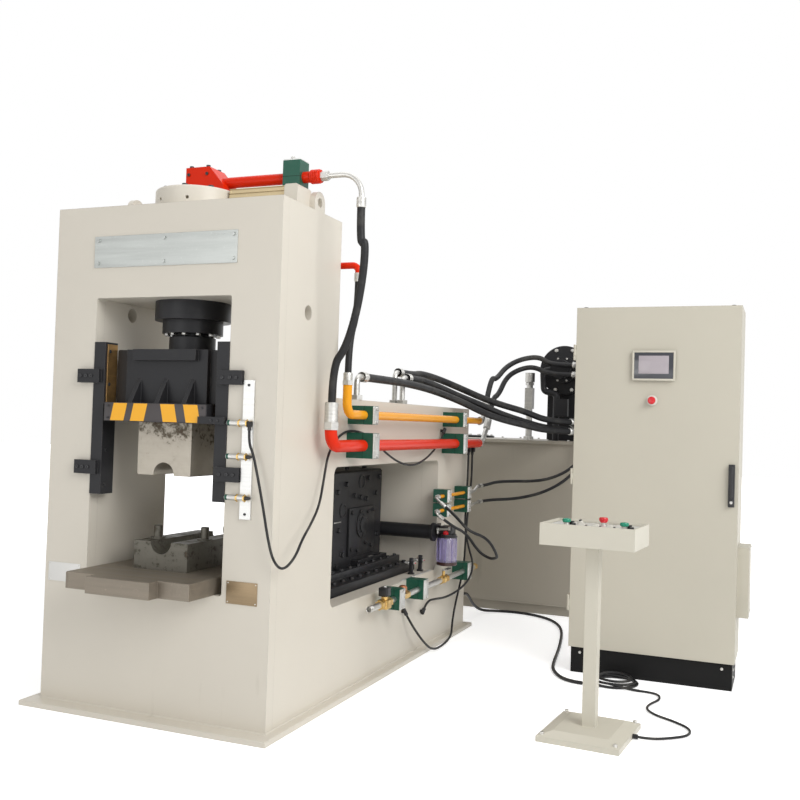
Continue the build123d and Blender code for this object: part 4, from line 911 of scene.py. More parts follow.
# Circles of the bolts under the gland and of the screws on the cylinder's cap.
GLAND_CIRCLE = 0.126
CAP_CIRCLE = 0.160


class PRESS_OT_bolt_gland(bpy.types.Operator):
    """Adds the bolts of the vertical cylinder's gland and of its cap"""

    bl_idname = "press.bolt_gland"
    bl_label = "Bolt the Gland"

    def execute(self, context):
        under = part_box("clamp_cylinder")[0].z
        cap_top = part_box("cap_ring")[1].z
        silver, dark = fresh(2)
        for way in spokes(12, 0.5):
            add_hex(silver, way * GLAND_CIRCLE + UP * under, DOWN, 0.019, 0.009)
        for way in spokes(8, 0.25):
            add_socket(dark, way * CAP_CIRCLE + UP * cap_top, UP, 0.028, 0.012)
        finish_piece("gland_bolts", silver, "frame", "zinc")
        finish_piece("cap_bolts", dark, "frame", "dark_bolt")
        return {"FINISHED"}


# The slide's welded corner: its gussets across, half a gusset's thickness, the upright plate's face,
# the top of the foot over the slide's lowest edge, and the height and ends of the top bar's seam.
GUSSETS = (-0.150, 0.0, 0.150)
GUSSET_HALF = 0.011
SLIDE_PLATE_Y = -0.205
FOOT_DEEP = 0.088
TOP_SEAM_Z, TOP_SEAM_HALF = 1.664, 0.176


class PRESS_OT_weld_seams(bpy.types.Operator):
    """Adds the weld beads of the frame and the slide"""

    bl_idname = "press.weld_seams"
    bl_label = "Weld Seams"

    def execute(self, context):
        radius = context.scene.press_sizes.weld_width / 2
        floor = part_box("base_plate")[1].z
        bed_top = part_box("bed")[1].z
        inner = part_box("left_side_plate")[1].x
        frame_beads, beads = fresh(2)
        for y in (FACE_Y, REAR_Y):
            add_weld(frame_beads, (-SIDE_X, y, floor), (SIDE_X, y, floor), radius)
        for side in (-1, 1):
            x = side * SIDE_X
            add_weld(frame_beads, (x, FACE_Y, floor), (x, REAR_Y, floor), radius)
            x = side * inner
            add_weld(frame_beads, (x, -0.19, bed_top), (x, 0.34, bed_top), radius * 0.8)
        finish_piece("frame_welds", frame_beads, "frame", "cream", angle=60)
        y = SLIDE_PLATE_Y
        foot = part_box("slide")[0].z + FOOT_DEEP
        for x in GUSSETS:
            for edge in (x - GUSSET_HALF, x + GUSSET_HALF):
                add_weld(beads, (edge, -0.268, foot), (edge, y, foot), 0.0045, 0.007)
                add_weld(beads, (edge, y, foot), (edge, y, foot + 0.112), 0.0045, 0.007)
        add_weld(beads, (-0.227, y, foot), (0.227, y, foot), 0.005, 0.008)
        add_weld(beads, (-TOP_SEAM_HALF, y, TOP_SEAM_Z), (TOP_SEAM_HALF, y, TOP_SEAM_Z), 0.0035, 0.007)
        finish_piece("slide_welds", beads, "clamp_slide", "black", angle=60)
        return {"FINISHED"}


# The ring round the clamping ram over the slide: the circle of its screws and its top.
RAM_CIRCLE, RAM_RING_TOP = 0.0985, 1.790


class PRESS_OT_fit_slide(bpy.types.Operator):
    """Adds the screws of the hazard plate, the trigger arm and the ring over the slide"""

    bl_idname = "press.fit_slide"
    bl_label = "Fit the Slide"

    def execute(self, context):
        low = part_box("slide")[0]
        screws = bmesh.new()
        heights = (low.z + 0.016, low.z + 0.072)
        add_rows(add_socket, screws, (-0.262, 0.262), [low.y + 0.0118], heights, FRONT, 0.011, 0.0035)
        add_rows(add_socket, screws, (0.318, 0.352), [low.y], [low.z + 0.0165], FRONT, 0.012, 0.005)
        for way in spokes(8, 12 / 45):
            add_socket(screws, way * RAM_CIRCLE + UP * RAM_RING_TOP, UP, 0.014, 0.006)
        finish_piece("slide_screws", screws, "clamp_slide", "dark_bolt")
        return {"FINISHED"}


# Heights of the three sensors on the strip, their place along, and the tip of their barrels.
SENSOR_HEIGHTS = (1.382, 1.233, 1.051)
SENSOR_Y = -0.286
SENSOR_TIP = 0.398
THREAD_PITCH = 0.0026


class PRESS_OT_fit_sensors(bpy.types.Operator):
    """Adds the nuts, threads, caps and boots of the sensors on the strip"""

    bl_idname = "press.fit_sensors"
    bl_label = "Fit the Sensors"

    def execute(self, context):
        nuts, caps, boots, threads = fresh(4)
        ridges = [(0.0121, 0)]
        for i in range(14):
            ridges += [(0.0127, (i + 0.5) * THREAD_PITCH), (0.0121, (i + 1) * THREAD_PITCH)]
        tip = capped((0.0105, 0), (0.0126, 0.003), (0.0126, 0.014))
        boot = capped((0.0085, 0), (0.0085, 0.012), (0.0055, 0.022), (0.0045, 0.026))
        for z in SENSOR_HEIGHTS:
            for x in (0.4555, 0.4945):
                add_hex(nuts, (x, SENSOR_Y, z), RIGHT, 0.031, 0.006, washer=False)
            add_turned(threads, capped(*ridges), (0.4165, SENSOR_Y, z), RIGHT, 20)
            add_turned(caps, tip, (SENSOR_TIP - 0.001, SENSOR_Y, z), RIGHT, 20)
        for z in SENSOR_HEIGHTS[1:]:
            add_turned(boots, boot, (0.5, SENSOR_Y, z), RIGHT, 16)
        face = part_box("sign_plates")[1].y - 0.010
        add_rows(add_socket, boots, [0.488], [face], (0.978, 1.552), FRONT, 0.012, 0.004)
        finish_piece("sensor_nuts", nuts, "frame", "brass")
        finish_piece("sensor_threads", threads, "frame", "zinc")
        finish_piece("sensor_caps", caps, "frame", "green")
        finish_piece("sensor_boots", boots, "frame", "black_plastic")
        return {"FINISHED"}


# The two small plates low on the front: left, right, bottom and top edges.
INFO_PLATES = {"info_white": (-0.602, -0.413, 0.592, 0.681), "info_brown": (0.403, 0.561, 0.577, 0.677)}
RIVET_INSET = 0.008


class PRESS_OT_fit_plates(bpy.types.Operator):
    """Faces the two small bare plates and adds their rivets"""

    bl_idname = "press.fit_plates"
    bl_label = "Small Plates"

    def execute(self, context):
        face = FACE_Y - 0.002
        rivets = bmesh.new()
        dome = [(0, 0), (0.0035, 0), (0.003, 0.0012), (0.0015, 0.002), (0, 0.0022)]
        for finish, (left, right, bottom, top) in INFO_PLATES.items():
            sheet = bmesh.new()
            corner = (left - 0.0005, face - 0.0007, bottom - 0.0005)
            add_block(sheet, corner, (right + 0.0005, face + 0.001, top + 0.0005), 0.0004)
            finish_piece(finish + "_sheet", sheet, "frame", finish)
            for x in (left + RIVET_INSET, right - RIVET_INSET):
                for z in (bottom + RIVET_INSET, top - RIVET_INSET):
                    add_turned(rivets, dome, (x, face - 0.0006, z), FRONT, 12)
        finish_piece("plate_rivets", rivets, "frame", "zinc")
        return {"FINISHED"}


# Block clamps on the side plate: places along, then height, reach from the side plate, width and height.
SIDE_CLAMPS = (
    ((0.520, 1.975), 1.440, 0.1385, 0.070, 0.095),
    ((0.520, 1.975), 1.285, 0.1460, 0.080, 0.130),
    ((1.840, 2.255), 0.952, 0.0930, 0.075, 0.082),
    ((1.840, 2.255), 0.862, 0.0930, 0.075, 0.082),
    ((1.042, 1.417, 2.257), 0.425, 0.1090, 0.080, 0.115),
)
# Where the two halves of each clamp meet, off the side plate, by the reach of the clamp.
PARTING = {0.1385: 0.090, 0.1460: 0.090, 0.0930: 0.066, 0.1090: 0.076}
PART_HALF = 0.0008
# The clamp on the crown: its left, front and lowest corner, its right and rear edges, and its parting.
CROWN_CLAMP = Vector((0.468, 0.005, 2.498))
CROWN_CLAMP_RIGHT, CROWN_CLAMP_REAR = 0.559, 0.095
CROWN_PARTING = 2.556


def add_gap(target, low, high):
    """Parting line that stands a hair proud of the clamp all round."""
    proud = Vector((0.0004, 0.0004, 0.0004))
    add_block(target, Vector(low) - proud, Vector(high) + proud)


class PRESS_OT_cover_clamps(bpy.types.Operator):
    """Adds the cover plates, bolts and parting lines of the pipe clamps"""

    bl_idname = "press.cover_clamps"
    bl_label = "Cover the Clamps"

    def execute(self, context):
        across = context.scene.press_sizes.clamp_bolt
        covers, bolts, gaps = fresh(3)
        for places, z, reach, width, height in SIDE_CLAMPS:
            x, split = SIDE_X + reach, SIDE_X + PARTING[reach]
            half_w, half_h = width / 2, height / 2
            in_w, in_h = half_w - 0.002, half_h - 0.002
            bolt = half_h - 0.013
            for y in places:
                add_block(covers, (x - 0.0005, y - in_w, z - in_h), (x + 0.005, y + in_w, z + in_h), 0.001)
                left = (split - PART_HALF + 0.0004, y - half_w, z - half_h)
                add_gap(gaps, left, (split + PART_HALF - 0.0004, y + half_w, z + half_h))
            add_rows(add_hex, bolts, [x + 0.005], places, (z - bolt, z + bolt), RIGHT, across, 0.009)
        low, top = CROWN_CLAMP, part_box("pipe_clamps")[1].z
        corner = (low.x + 0.002, low.y + 0.002, top - 0.0005)
        right, rear = CROWN_CLAMP_RIGHT, CROWN_CLAMP_REAR
        add_block(covers, corner, (right - 0.002, rear - 0.002, top + 0.006), 0.001)
        add_rows(add_hex, bolts, [0.5135], (0.018, 0.082), [top + 0.006], UP, across * 1.15, 0.010)
        level = PART_HALF - 0.0004
        add_gap(gaps, (low.x, low.y, CROWN_PARTING - level), (right, rear, CROWN_PARTING + level))
        finish_piece("clamp_covers", covers, "frame", "alu")
        finish_piece("clamp_bolts", bolts, "frame", "zinc")
        finish_piece("clamp_gaps", gaps, "frame", "plinth")
        return {"FINISHED"}


# The water line: its axis, its ends and the pipe's radius.
WATER_X, WATER_Z = 0.700, 0.425
WATER_FRONT, WATER_REAR = 0.659, 2.513
WATER_R = 0.017
THREADS, WATER_PITCH = 14, 0.0023
# Hexagon fittings on the water line: place along, width across and length.
WATER_NUTS = (
    (0.799, 0.048, 0.035), (0.904, 0.048, 0.035), (1.104, 0.045, 0.060), (1.164, 0.045, 0.040),
    (1.769, 0.045, 0.026), (1.863, 0.045, 0.026), (2.453, 0.040, 0.040),
)
# Places along of the solenoid valve and of the ball valve's stem.
SOLENOID_Y, STEM_Y = 0.869, 1.829


def by_water(y, x=0.0, z=0.0):
    """Point beside the axis of the water line."""
    return Vector((WATER_X + x, y, WATER_Z + z))


class PRESS_OT_water_line(bpy.types.Operator):
    """Builds the water pipe with its solenoid valve, unions and ball valve"""

    bl_idname = "press.water_line"
    bl_label = "Water Line"

    def execute(self, context):
        pipe, brass, knob, coil, silver, grip = fresh(6)
        r = WATER_R
        long = WATER_REAR - WATER_FRONT
        bore = [(r - 0.004, 0.04), (r - 0.004, 0.001), (r - 0.003, 0), (r - 0.001, 0), (r, 0.0015)]
        for i in range(THREADS):
            rise = 0.004 + i * WATER_PITCH
            bore += [(r - 0.001, rise), (r, rise + WATER_PITCH / 2)]
        add_turned(
            pipe, capped(*bore, (r, long - 0.002), (r - 0.002, long)), by_water(WATER_FRONT), REAR, 28
        )
        finish_piece("water_pipe", pipe, "frame", "zinc", replaces=("water_line",))
        for y, across, deep in WATER_NUTS:
            add_hex(brass, by_water(y), REAR, across, deep, washer=False)
        solenoid = (WATER_X, SOLENOID_Y)
        add_block(brass, by_water(0.834, -0.030, -0.028), by_water(0.904, 0.030, 0.022), 0.006)
        add_rod(brass, by_water(SOLENOID_Y, 0, 0.020), by_water(SOLENOID_Y, 0, 0.040), 0.019)
        ball = capped((0.018, 0), (0.024, 0.012), (0.027, 0.034), (0.024, 0.056), (0.018, 0.068))
        add_turned(brass, ball, by_water(1.795), REAR, 24)
        add_rod(brass, by_water(STEM_Y, 0, 0.010), by_water(STEM_Y, 0, 0.052), 0.0095)
        finish_piece("water_brass", brass, "frame", "brass")
        cap = [
            (0, 0), (0.011, 0), (0.011, 0.016), (0.022, 0.020), (0.025, 0.030), (0.022, 0.041), (
                0.012, 0.047
            ),
            (0, 0.048),
        ]
        add_turned(knob, cap, by_water(1.134, 0, 0.014), UP, 32)
        finish_piece("water_knob", knob, "frame", "copper")
        add_post(coil, solenoid, (0.026, 0.030), WATER_Z + 0.040, WATER_Z + 0.088, 0.005)
        add_block(coil, by_water(0.899, -0.012, 0.048), by_water(0.917, 0.012, 0.078), 0.003)
        finish_piece("solenoid_coil", coil, "frame", "black_plastic")
        add_hex(silver, by_water(SOLENOID_Y, 0, 0.088), UP, 0.018, 0.006)
        add_rod(silver, by_water(0.928, 0, 0.063), by_water(0.917, 0, 0.063), 0.009)
        add_block(silver, by_water(1.819, -0.009, 0.054), by_water(1.930, 0.009, 0.058), 0.0015)
        add_hex(silver, by_water(STEM_Y, 0, 0.058), UP, 0.014, 0.004)
        finish_piece("water_silver", silver, "frame", "zinc")
        add_block(grip, by_water(1.868, -0.011, 0.0525), by_water(1.949, 0.011, 0.0600), 0.003)
        finish_piece("valve_grip", grip, "frame", "black_plastic")
        return {"FINISHED"}


# The lubricator: its axis, the heights of its bowl, the bowl's radius and its ribs.
BOWL = Vector((0.709, 1.855, 0))
BOWL_LOW, BOWL_TOP = 0.512, 0.690
BOWL_R = 0.062
BOWL_RIBS = 9


class PRESS_OT_lubricator(bpy.types.Operator):
    """Builds the lubricator with its ribbed bowl"""

    bl_idname = "press.lubricator"
    bl_label = "Lubricator"

    def execute(self, context):
        bowl, ring, dark, silver, knob = fresh(5)
        low, top = BOWL + UP * BOWL_LOW, BOWL + UP * BOWL_TOP
        r = BOWL_R
        tall = BOWL_TOP - BOWL_LOW - 0.014
        wall = capped((r - 0.008, 0), (r, 0.008), (r, tall - 0.006), (r - 0.003, tall))
        add_turned(bowl, wall, low + UP * 0.014, UP, 56)
        for way in spokes(BOWL_RIBS):
            side = way * (r - 0.0012)
            add_rod(bowl, low + side + UP * 0.024, top + side - UP * 0.010, 0.0055, 10)
        finish_piece("lubricator_bowl", bowl, "frame", "bowl", replaces=("lubricator",))
        base = capped((0.060, 0), (0.066, 0.004), (0.066, 0.017), (0.062, 0.022))
        add_turned(ring, base, low, UP, 40)
        finish_piece("lubricator_base", ring, "frame", "base_plastic")
        collar = capped((0.062, 0), (0.064, 0.004), (0.064, 0.010), (0.057, 0.014), (0.057, 0.022))
        add_turned(dark, collar, top - UP * 0.002, UP, 40)
        add_post(dark, BOWL.xy, (0.042, 0.042), BOWL_TOP + 0.019, BOWL_TOP + 0.072, 0.007)
        add_block(dark, (SIDE_X + 0.010, 1.885, BOWL_TOP + 0.024), (BOWL.x, 1.903, BOWL_TOP + 0.066), 0.003)
        finish_piece("lubricator_head", dark, "frame", "black_plastic")
        port = top + UP * 0.046
        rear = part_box("lubricator")[1].y
        add_rod(silver, port + REAR * 0.040, (port.x, rear, port.z), 0.013)
        add_hex(silver, port + REAR * 0.042, REAR, 0.030, 0.012, washer=False)
        arm_left = top + Vector((-0.050, -0.050, 0.050))
        arm_right = arm_left + Vector((0.084, 0, 0.008))
        add_rod(silver, arm_left, arm_right, 0.008)
        add_rod(silver, arm_left, arm_left - UP * 0.026, 0.008)
        add_hex(silver, arm_left + LEFT * 0.004, RIGHT, 0.024, 0.012, washer=False)
        add_hex(silver, arm_right, LEFT, 0.024, 0.012, washer=False)
        add_rod(silver, low + UP * 0.030, top - UP * 0.004, 0.010)
        across, along = (BOWL.x - 0.030, BOWL.x + 0.030), (BOWL.y - 0.030, BOWL.y + 0.030)
        add_rows(add_socket, silver, across, along, [BOWL_TOP + 0.072], UP, 0.010, 0.004)
        finish_piece("lubricator_silver", silver, "frame", "zinc")
        dome = [(0, 0), (0.017, 0), (0.017, 0.008), (0.012, 0.014), (0, 0.016)]
        add_turned(knob, dome, top + Vector((0.004, -0.041, 0.028)), FRONT, 24)
        finish_piece("lubricator_knob", knob, "frame", "red_button")
        return {"FINISHED"}


# Ribbed socket of the red pipe beside the crown: its start, its radius over and under the ribs, their pitch.
SOCKET_START = (0.598, 0.050, 2.556)
RIB_R, SOCKET_R = 0.034, 0.031
RIB_PITCH = 0.009


class PRESS_OT_fit_manifold(bpy.types.Operator):
    """Adds the bolts of the crown manifold, the ribbed socket of its pipe and the channel's screws"""

    bl_idname = "press.fit_manifold"
    bl_label = "Fit the Manifold"

    def execute(self, context):
        low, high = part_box("crown_manifold")
        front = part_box("crown_channel")[0]
        bolts, sockets, screws = fresh(3)
        add_rows(add_socket, bolts, (-0.048, 0.048), (0.010, 0.105), [high.z], UP, 0.021, 0.012)
        add_rows(add_socket, bolts, (0.100, 0.130), [0.107], [low.z + 0.050], UP, 0.018, 0.010)
        heights = (low.z + 0.025, low.z + 0.095)
        add_rows(add_socket, bolts, (0.055, -0.050), [low.y], heights, FRONT, 0.016, 0.006)
        finish_piece("manifold_bolts", bolts, "frame", "dark_bolt")
        ribs = [(SOCKET_R, 0)]
        for i in range(5):
            rise = i * RIB_PITCH
            ribs += [(RIB_R, rise + 0.004), (RIB_R, rise + 0.008), (SOCKET_R, rise + 0.0105)]
        add_turned(sockets, capped(*ribs, (SOCKET_R, 0.052)), SOCKET_START, RIGHT, 32)
        finish_piece("red_sockets", sockets, "frame", "red")
        places = (0.250, 0.370, 0.490)
        add_rows(add_socket, screws, places, [front.y], [front.z + 0.020], FRONT, 0.012, 0.003)
        finish_piece("channel_screws", screws, "frame", "zinc")
        return {"FINISHED"}


# Sides of the horizontal block: half its width, and its cover plate and the bolts round it, as places
# along and up.
BLOCK_FACE = 0.290
COVER_LOW, COVER_HIGH = (1.240, 0.600), (1.612, 0.886)
COVER_T = 0.014
COVER_BOLTS = (
    (1.352, 0.628), (1.473, 0.664), (1.560, 0.640), (1.270, 0.640), (1.270, 0.860), (1.391, 0.860),
    (1.502, 0.852), (1.585, 0.860),
)
BLOCK_BOLTS = (
    (1.207, 1.033), (1.324, 0.959), (1.409, 0.946), (1.499, 0.930), (1.640, 0.960), (1.690, 1.060),
    (1.090, 0.992), (1.111, 0.768), (1.170, 0.620), (1.090, 0.560), (1.680, 0.700), (1.520, 1.060),
)
BORE_PLACES = ((1.430, 1.040), (1.170, 0.880))
# The hub on the cover plate, and the circle of its bolts.
HUB = Vector((0, 1.410, 0.780))
HUB_CIRCLE = 0.0625


def add_beside(target, side, low, high, bevel):
    """Block on the right side of the middle plane, or its mirror image on the left."""
    near, far = sorted((side * low[0], side * high[0]))
    add_block(target, (near, *low[1:]), (far, *high[1:]), bevel)


class PRESS_OT_dress_block(bpy.types.Operator):
    """Adds the cover plate, bolts and bores on the horizontal block"""

    bl_idname = "press.dress_block"
    bl_label = "Dress the Block"

    def execute(self, context):
        body, bolts, strip = fresh(3)
        face, cover = BLOCK_FACE, BLOCK_FACE + COVER_T
        hub = capped(
            (0.078, 0), (0.078, 0.010), (0.070, 0.014), (0.050, 0.014), (0.050, 0.022), (0.046, 0.024)
        )
        rim = capped((0.044, 0), (0.044, 0.004), (0.036, 0.006), (0.034, 0.001))
        for side in (-1, 1):
            way = RIGHT * side
            add_beside(body, side, (face - 0.001, *COVER_LOW), (cover, *COVER_HIGH), 0.003)
            add_turned(body, hub, HUB + way * (cover - 0.001), way, 40)
            for y, z in BORE_PLACES:
                add_turned(body, rim, (side * face, y, z), way, 32)
            for y, z in BLOCK_BOLTS:
                add_hex(bolts, (side * face, y, z), way, 0.026, 0.013)
            for y, z in COVER_BOLTS:
                add_socket(bolts, (side * cover, y, z), way, 0.022, 0.012)
            for spoke in spokes(6, 0.5, REAR, UP):
                add_socket(bolts, HUB + way * (cover + 0.012) + spoke * HUB_CIRCLE, way, 0.013, 0.006)
        finish_piece("block_covers", body, "upset_slide", "black")
        along = (1.330, 1.380, 1.420, 1.700)
        add_rows(add_socket, bolts, [0.340], along, [0.5525], RIGHT, 0.014, 0.006)
        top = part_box("upset_block")[1].z
        add_rows(add_socket, bolts, (-0.2, 0.0, 0.2), (1.12, 1.40, 1.66), [top], UP, 0.030, 0.014)
        finish_piece("block_bolts", bolts, "upset_slide", "dark_bolt")
        add_block(strip, (face, 1.055, 0.812), (face + 0.0015, 1.150, 0.818), 0.0004)
        add_block(strip, (0.3135, 1.500, 0.5745), (0.3265, 1.560, 0.5790), 0.001)
        finish_piece("block_strip", strip, "upset_slide", "zinc")
        return {"FINISHED"}


# Flat guide beside the block on each side of the bed, with its raised edge: across, along and up.
GUIDE_LOW = (0.352, 0.560, 0.4655)
GUIDE_HIGH = (0.500, 1.830, 0.520)
CLAW_HIGH = (0.395, 1.830, 0.556)


class PRESS_OT_lay_guides(bpy.types.Operator):
    """Adds the bolted side guides of the horizontal block"""

    bl_idname = "press.lay_guides"
    bl_label = "Lay the Guides"

    def execute(self, context):
        guides, bolts = fresh(2)
        for side in (-1, 1):
            add_beside(guides, side, GUIDE_LOW, GUIDE_HIGH, 0.003)
            add_beside(guides, side, GUIDE_LOW, CLAW_HIGH, 0.003)
            for y in spread(0.63, 1.76, 11):
                add_socket(bolts, (side * 0.452, y, GUIDE_HIGH[2]), UP, 0.028, 0.014)
                add_hex(bolts, (side * 0.374, y + 0.03, CLAW_HIGH[2]), UP, 0.020, 0.010)
        finish_piece("side_guides", guides, "frame", "black")
        finish_piece("side_guide_bolts", bolts, "frame", "dark_bolt")
        return {"FINISHED"}


# The two upright probes on the sill of the right window: their place across, their places along, the
# sill, the top of their foot and the height of their axis.
PROBE_X = 0.569
PROBE_PLACES = (1.595, 1.750)
SILL = 0.475
PROBE_FOOT = SILL + 0.0125
PROBE_Z = SILL + 0.070


class PRESS_OT_fit_probes(bpy.types.Operator):
    """Adds the clamps, nuts and lights of the probes in the window, and the strip on its sill"""

    bl_idname = "press.fit_probes"
    bl_label = "Fit the Probes"

    def execute(self, context):
        black, nuts, lights, strip = fresh(4)
        x = PROBE_X
        light = [(0, 0), (0.0045, 0), (0.004, 0.003), (0, 0.004)]
        for y in PROBE_PLACES:
            add_post(black, (x, y), (0.0185, 0.0125), SILL, PROBE_FOOT, 0.001)
            add_post(black, (x, y), (0.011, 0.0105), PROBE_FOOT, SILL + 0.101, 0.002)
            add_hex(black, (x + 0.006, y, PROBE_Z), RIGHT, 0.026, 0.010, washer=False)
            add_hex(nuts, (x - 0.022, y, PROBE_Z), RIGHT, 0.026, 0.005, washer=False)
            add_turned(lights, light, (x + 0.024, y, PROBE_Z), RIGHT, 12)
        sides = (x - 0.0145, x + 0.0145)
        add_rows(add_socket, nuts, sides, PROBE_PLACES, [PROBE_FOOT], UP, 0.006, 0.003)
        top = SILL + 0.004
        add_block(strip, (SIDE_X - 0.018, 1.32, SILL - 0.0005), (SIDE_X - 0.004, 1.82, top), 0.001)
        add_rows(add_socket, strip, [SIDE_X - 0.011], (1.36, 1.50, 1.64, 1.78), [top], UP, 0.009, 0.0035)
        finish_piece("probe_clamps", black, "frame", "black_plastic")
        finish_piece("probe_nuts", nuts, "frame", "zinc")
        finish_piece("probe_lights", lights, "frame", "red_button")
        finish_piece("sill_strip", strip, "frame", "alu")
        return {"FINISHED"}


# The screen, the stop button and the handle on the cabinet door, as places across and up.
SCREEN_X, SCREEN_Z = 2.001, 1.775
SCREEN_HALF = (0.119, 0.085)
SCREEN_RIM = 0.011
STOP_X, STOP_Z = 1.996, 1.578
HANDLE_X = (2.414, 2.448)
HANDLE_Z = (1.003, 1.236)
LOCK_X, LOCK_Z = 2.431, 1.029


def add_on_door(target, low, high, out, sunk, bevel):
    """Block on the door between two corners across and up, standing out from it and sunk into it."""
    add_block(target, (low[0], DOOR_Y - out, low[1]), (high[0], DOOR_Y + sunk, high[1]), bevel)


class PRESS_OT_fit_door(bpy.types.Operator):
    """Builds the screen, the stop button and the handle of the cabinet door"""

    bl_idname = "press.fit_door"
    bl_label = "Fit the Door"

    def execute(self, context):
        rim, bezel, display, ring, mushroom, handle, silver = fresh(7)
        left, right = SCREEN_X - SCREEN_HALF[0], SCREEN_X + SCREEN_HALF[0]
        bottom, top = SCREEN_Z - SCREEN_HALF[1], SCREEN_Z + SCREEN_HALF[1]
        t, lap = SCREEN_RIM, SCREEN_RIM * 0.7
        bars = (
            (left, bottom, right, bottom + t), (left, top - t, right, top),
            (left, bottom + lap, left + t, top - lap), (right - t, bottom + lap, right, top - lap),
        )
        for x0, z0, x1, z1 in bars:
            add_on_door(rim, (x0, z0), (x1, z1), 0.008, 0.0005, 0.0015)
        finish_piece("screen_rim", rim, "door", "pedestal", replaces=("door_fittings",))
        add_on_door(bezel, (left + t, bottom + t), (right - t, top - t), 0.0055, 0.0005, 0.001)
        finish_piece("screen_bezel", bezel, "door", "screen")
        corner = (SCREEN_X - 0.083, SCREEN_Z - 0.046)
        add_on_door(display, corner, (SCREEN_X + 0.083, SCREEN_Z + 0.056), 0.0062, -0.005, 0.0003)
        finish_piece("screen_display", display, "door", "display")
        stop = (STOP_X, DOOR_Y, STOP_Z)
        base = capped((0.030, 0), (0.030, 0.003), (0.027, 0.006), (0.016, 0.006), (0.016, 0.012))
        add_turned(ring, base, stop, FRONT, 36)
        finish_piece("stop_ring", ring, "door", "white_plastic")
        cap = [
            (0, 0.010), (0.0135, 0.010), (0.0205, 0.015), (0.0215, 0.021), (0.019, 0.026), (0.010, 0.0285),
            (0, 0.029),
        ]
        add_turned(mushroom, cap, stop, FRONT, 36)
        finish_piece("stop_button", mushroom, "door", "red_button")
        low_x, high_x = HANDLE_X
        low_z, high_z = HANDLE_Z
        add_on_door(handle, (low_x, low_z), (high_x, high_z), 0.007, 0.0005, 0.003)
        add_on_door(
            handle, (low_x + 0.009, low_z + 0.052), (high_x - 0.009, high_z - 0.012), 0.020, -0.006, 0.004
        )
        boss = capped((0.0125, 0), (0.0125, 0.008), (0.011, 0.010))
        add_turned(handle, boss, (LOCK_X, DOOR_Y - 0.006, LOCK_Z), FRONT, 28)
        finish_piece("door_handle", handle, "door", "black_plastic")
        lock = capped((0.008, 0), (0.008, 0.002), (0.006, 0.003))
        add_turned(silver, lock, (LOCK_X, DOOR_Y - 0.0155, LOCK_Z), FRONT, 20)
        finish_piece("door_lock", silver, "door", "zinc")
        return {"FINISHED"}


class PRESS_OT_fit_cabinet(bpy.types.Operator):
    """Adds the roof plugs, the screws, the switchgear and the door seal of the cabinet"""

    bl_idname = "press.fit_cabinet"
    bl_label = "Fit the Cabinet"

    def execute(self, context):
        low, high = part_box("cabinet_body")
        door_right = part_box("cabinet_door")[1].x
        plinth_front, plinth_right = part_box("cabinet_plinth")[0].y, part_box("cabinet_plinth")[1].x
        eyes, screws, seal = fresh(3)
        plug = capped((0.014, 0), (0.014, 0.003), (0.009, 0.005))
        for x in (1.60, 2.42):
            for y in (low.y + 0.06, high.y - 0.04):
                add_turned(eyes, plug, (x, y, high.z), UP, 20)
        finish_piece("roof_plugs", eyes, "frame", "black_plastic")
        add_rows(add_socket, screws, [high.x], (1.70, 1.916), (0.402, 0.765), RIGHT, 0.012, 0.004)
        board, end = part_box("mounting_plate")
        across, up = (board.x + 0.03, end.x - 0.03), (board.z + 0.04, end.z - 0.04)
        add_rows(add_hex, screws, across, [board.y], up, FRONT, 0.013, 0.006)
        add_rows(add_hex, screws, [plinth_right], (1.70, 1.90), (0.06, 0.10), RIGHT, 0.013, 0.004)
        add_rows(add_hex, screws, (1.62, 2.40), [plinth_front], [0.115], FRONT, 0.013, 0.004)
        finish_piece("cabinet_screws", screws, "frame", "zinc")
        fit_gear(board.y)
        left, right = low.x + 0.018, door_right - 0.004
        for bottom in (low.z + 0.004, high.z - 0.020):
            add_block(seal, (left, low.y + 0.0262, bottom), (right, low.y + 0.0395, bottom + 0.014), 0.001)
        finish_piece("door_seal", seal, "frame", "black_plastic")
        return {"FINISHED"}


# Rows of switchgear on the mounting plate: height and the width of one module. Then where a row starts
# and its length.
GEAR_ROWS = ((1.80, 0.045), (1.48, 0.018), (1.16, 0.036), (0.84, 0.072), (0.52, 0.0125))
GEAR_START, GEAR_LONG = 1.69, 0.62


def fit_gear(front):
    """Switchgear on the mounting plate: rails, ducts and rows of modules."""
    rails, ducts, blocks = fresh(3)
    for z, wide in GEAR_ROWS:
        add_block(ducts, (1.64, front - 0.060, z + 0.11), (2.38, front, z + 0.16), 0.002)
        add_block(rails, (1.66, front - 0.010, z - 0.018), (2.36, front, z + 0.018), 0.001)
        for i in range(int(GEAR_LONG / wide)):
            x = GEAR_START + i * wide
            low = (x + 0.0006, front - 0.070, z - 0.043)
            add_block(blocks, low, (x + wide - 0.0006, front - 0.008, z + 0.043), 0.0015)
            low = (x + wide * 0.3, front - 0.078, z - 0.012)
            add_block(blocks, low, (x + wide * 0.7, front - 0.069, z + 0.012), 0.001)
    finish_piece("gear_rails", rails, "frame", "zinc")
    finish_piece("gear_ducts", ducts, "frame", "white_plastic")
    finish_piece("gear_modules", blocks, "frame", "black_plastic")


# The pedestal: its place and turn, the level of its sunk panel, and the places of its buttons.
PEDESTAL = Matrix.Translation((1.895, 0.500, 0)) @ Matrix.Rotation(math.radians(-4), 4, "Z")
PANEL_Z = 0.956
PANEL_T = 0.0014
BUTTON_ROW = (-0.045, 0.020, 0.085)
BUTTON_Y = -0.060
MUSHROOMS = ((-0.117, -0.060), (0.150, -0.060))
STOP_PLACE = (0.025, 0.060)
SWITCH_PLACE = (-0.080, 0.040)
POST_HALF = 0.03


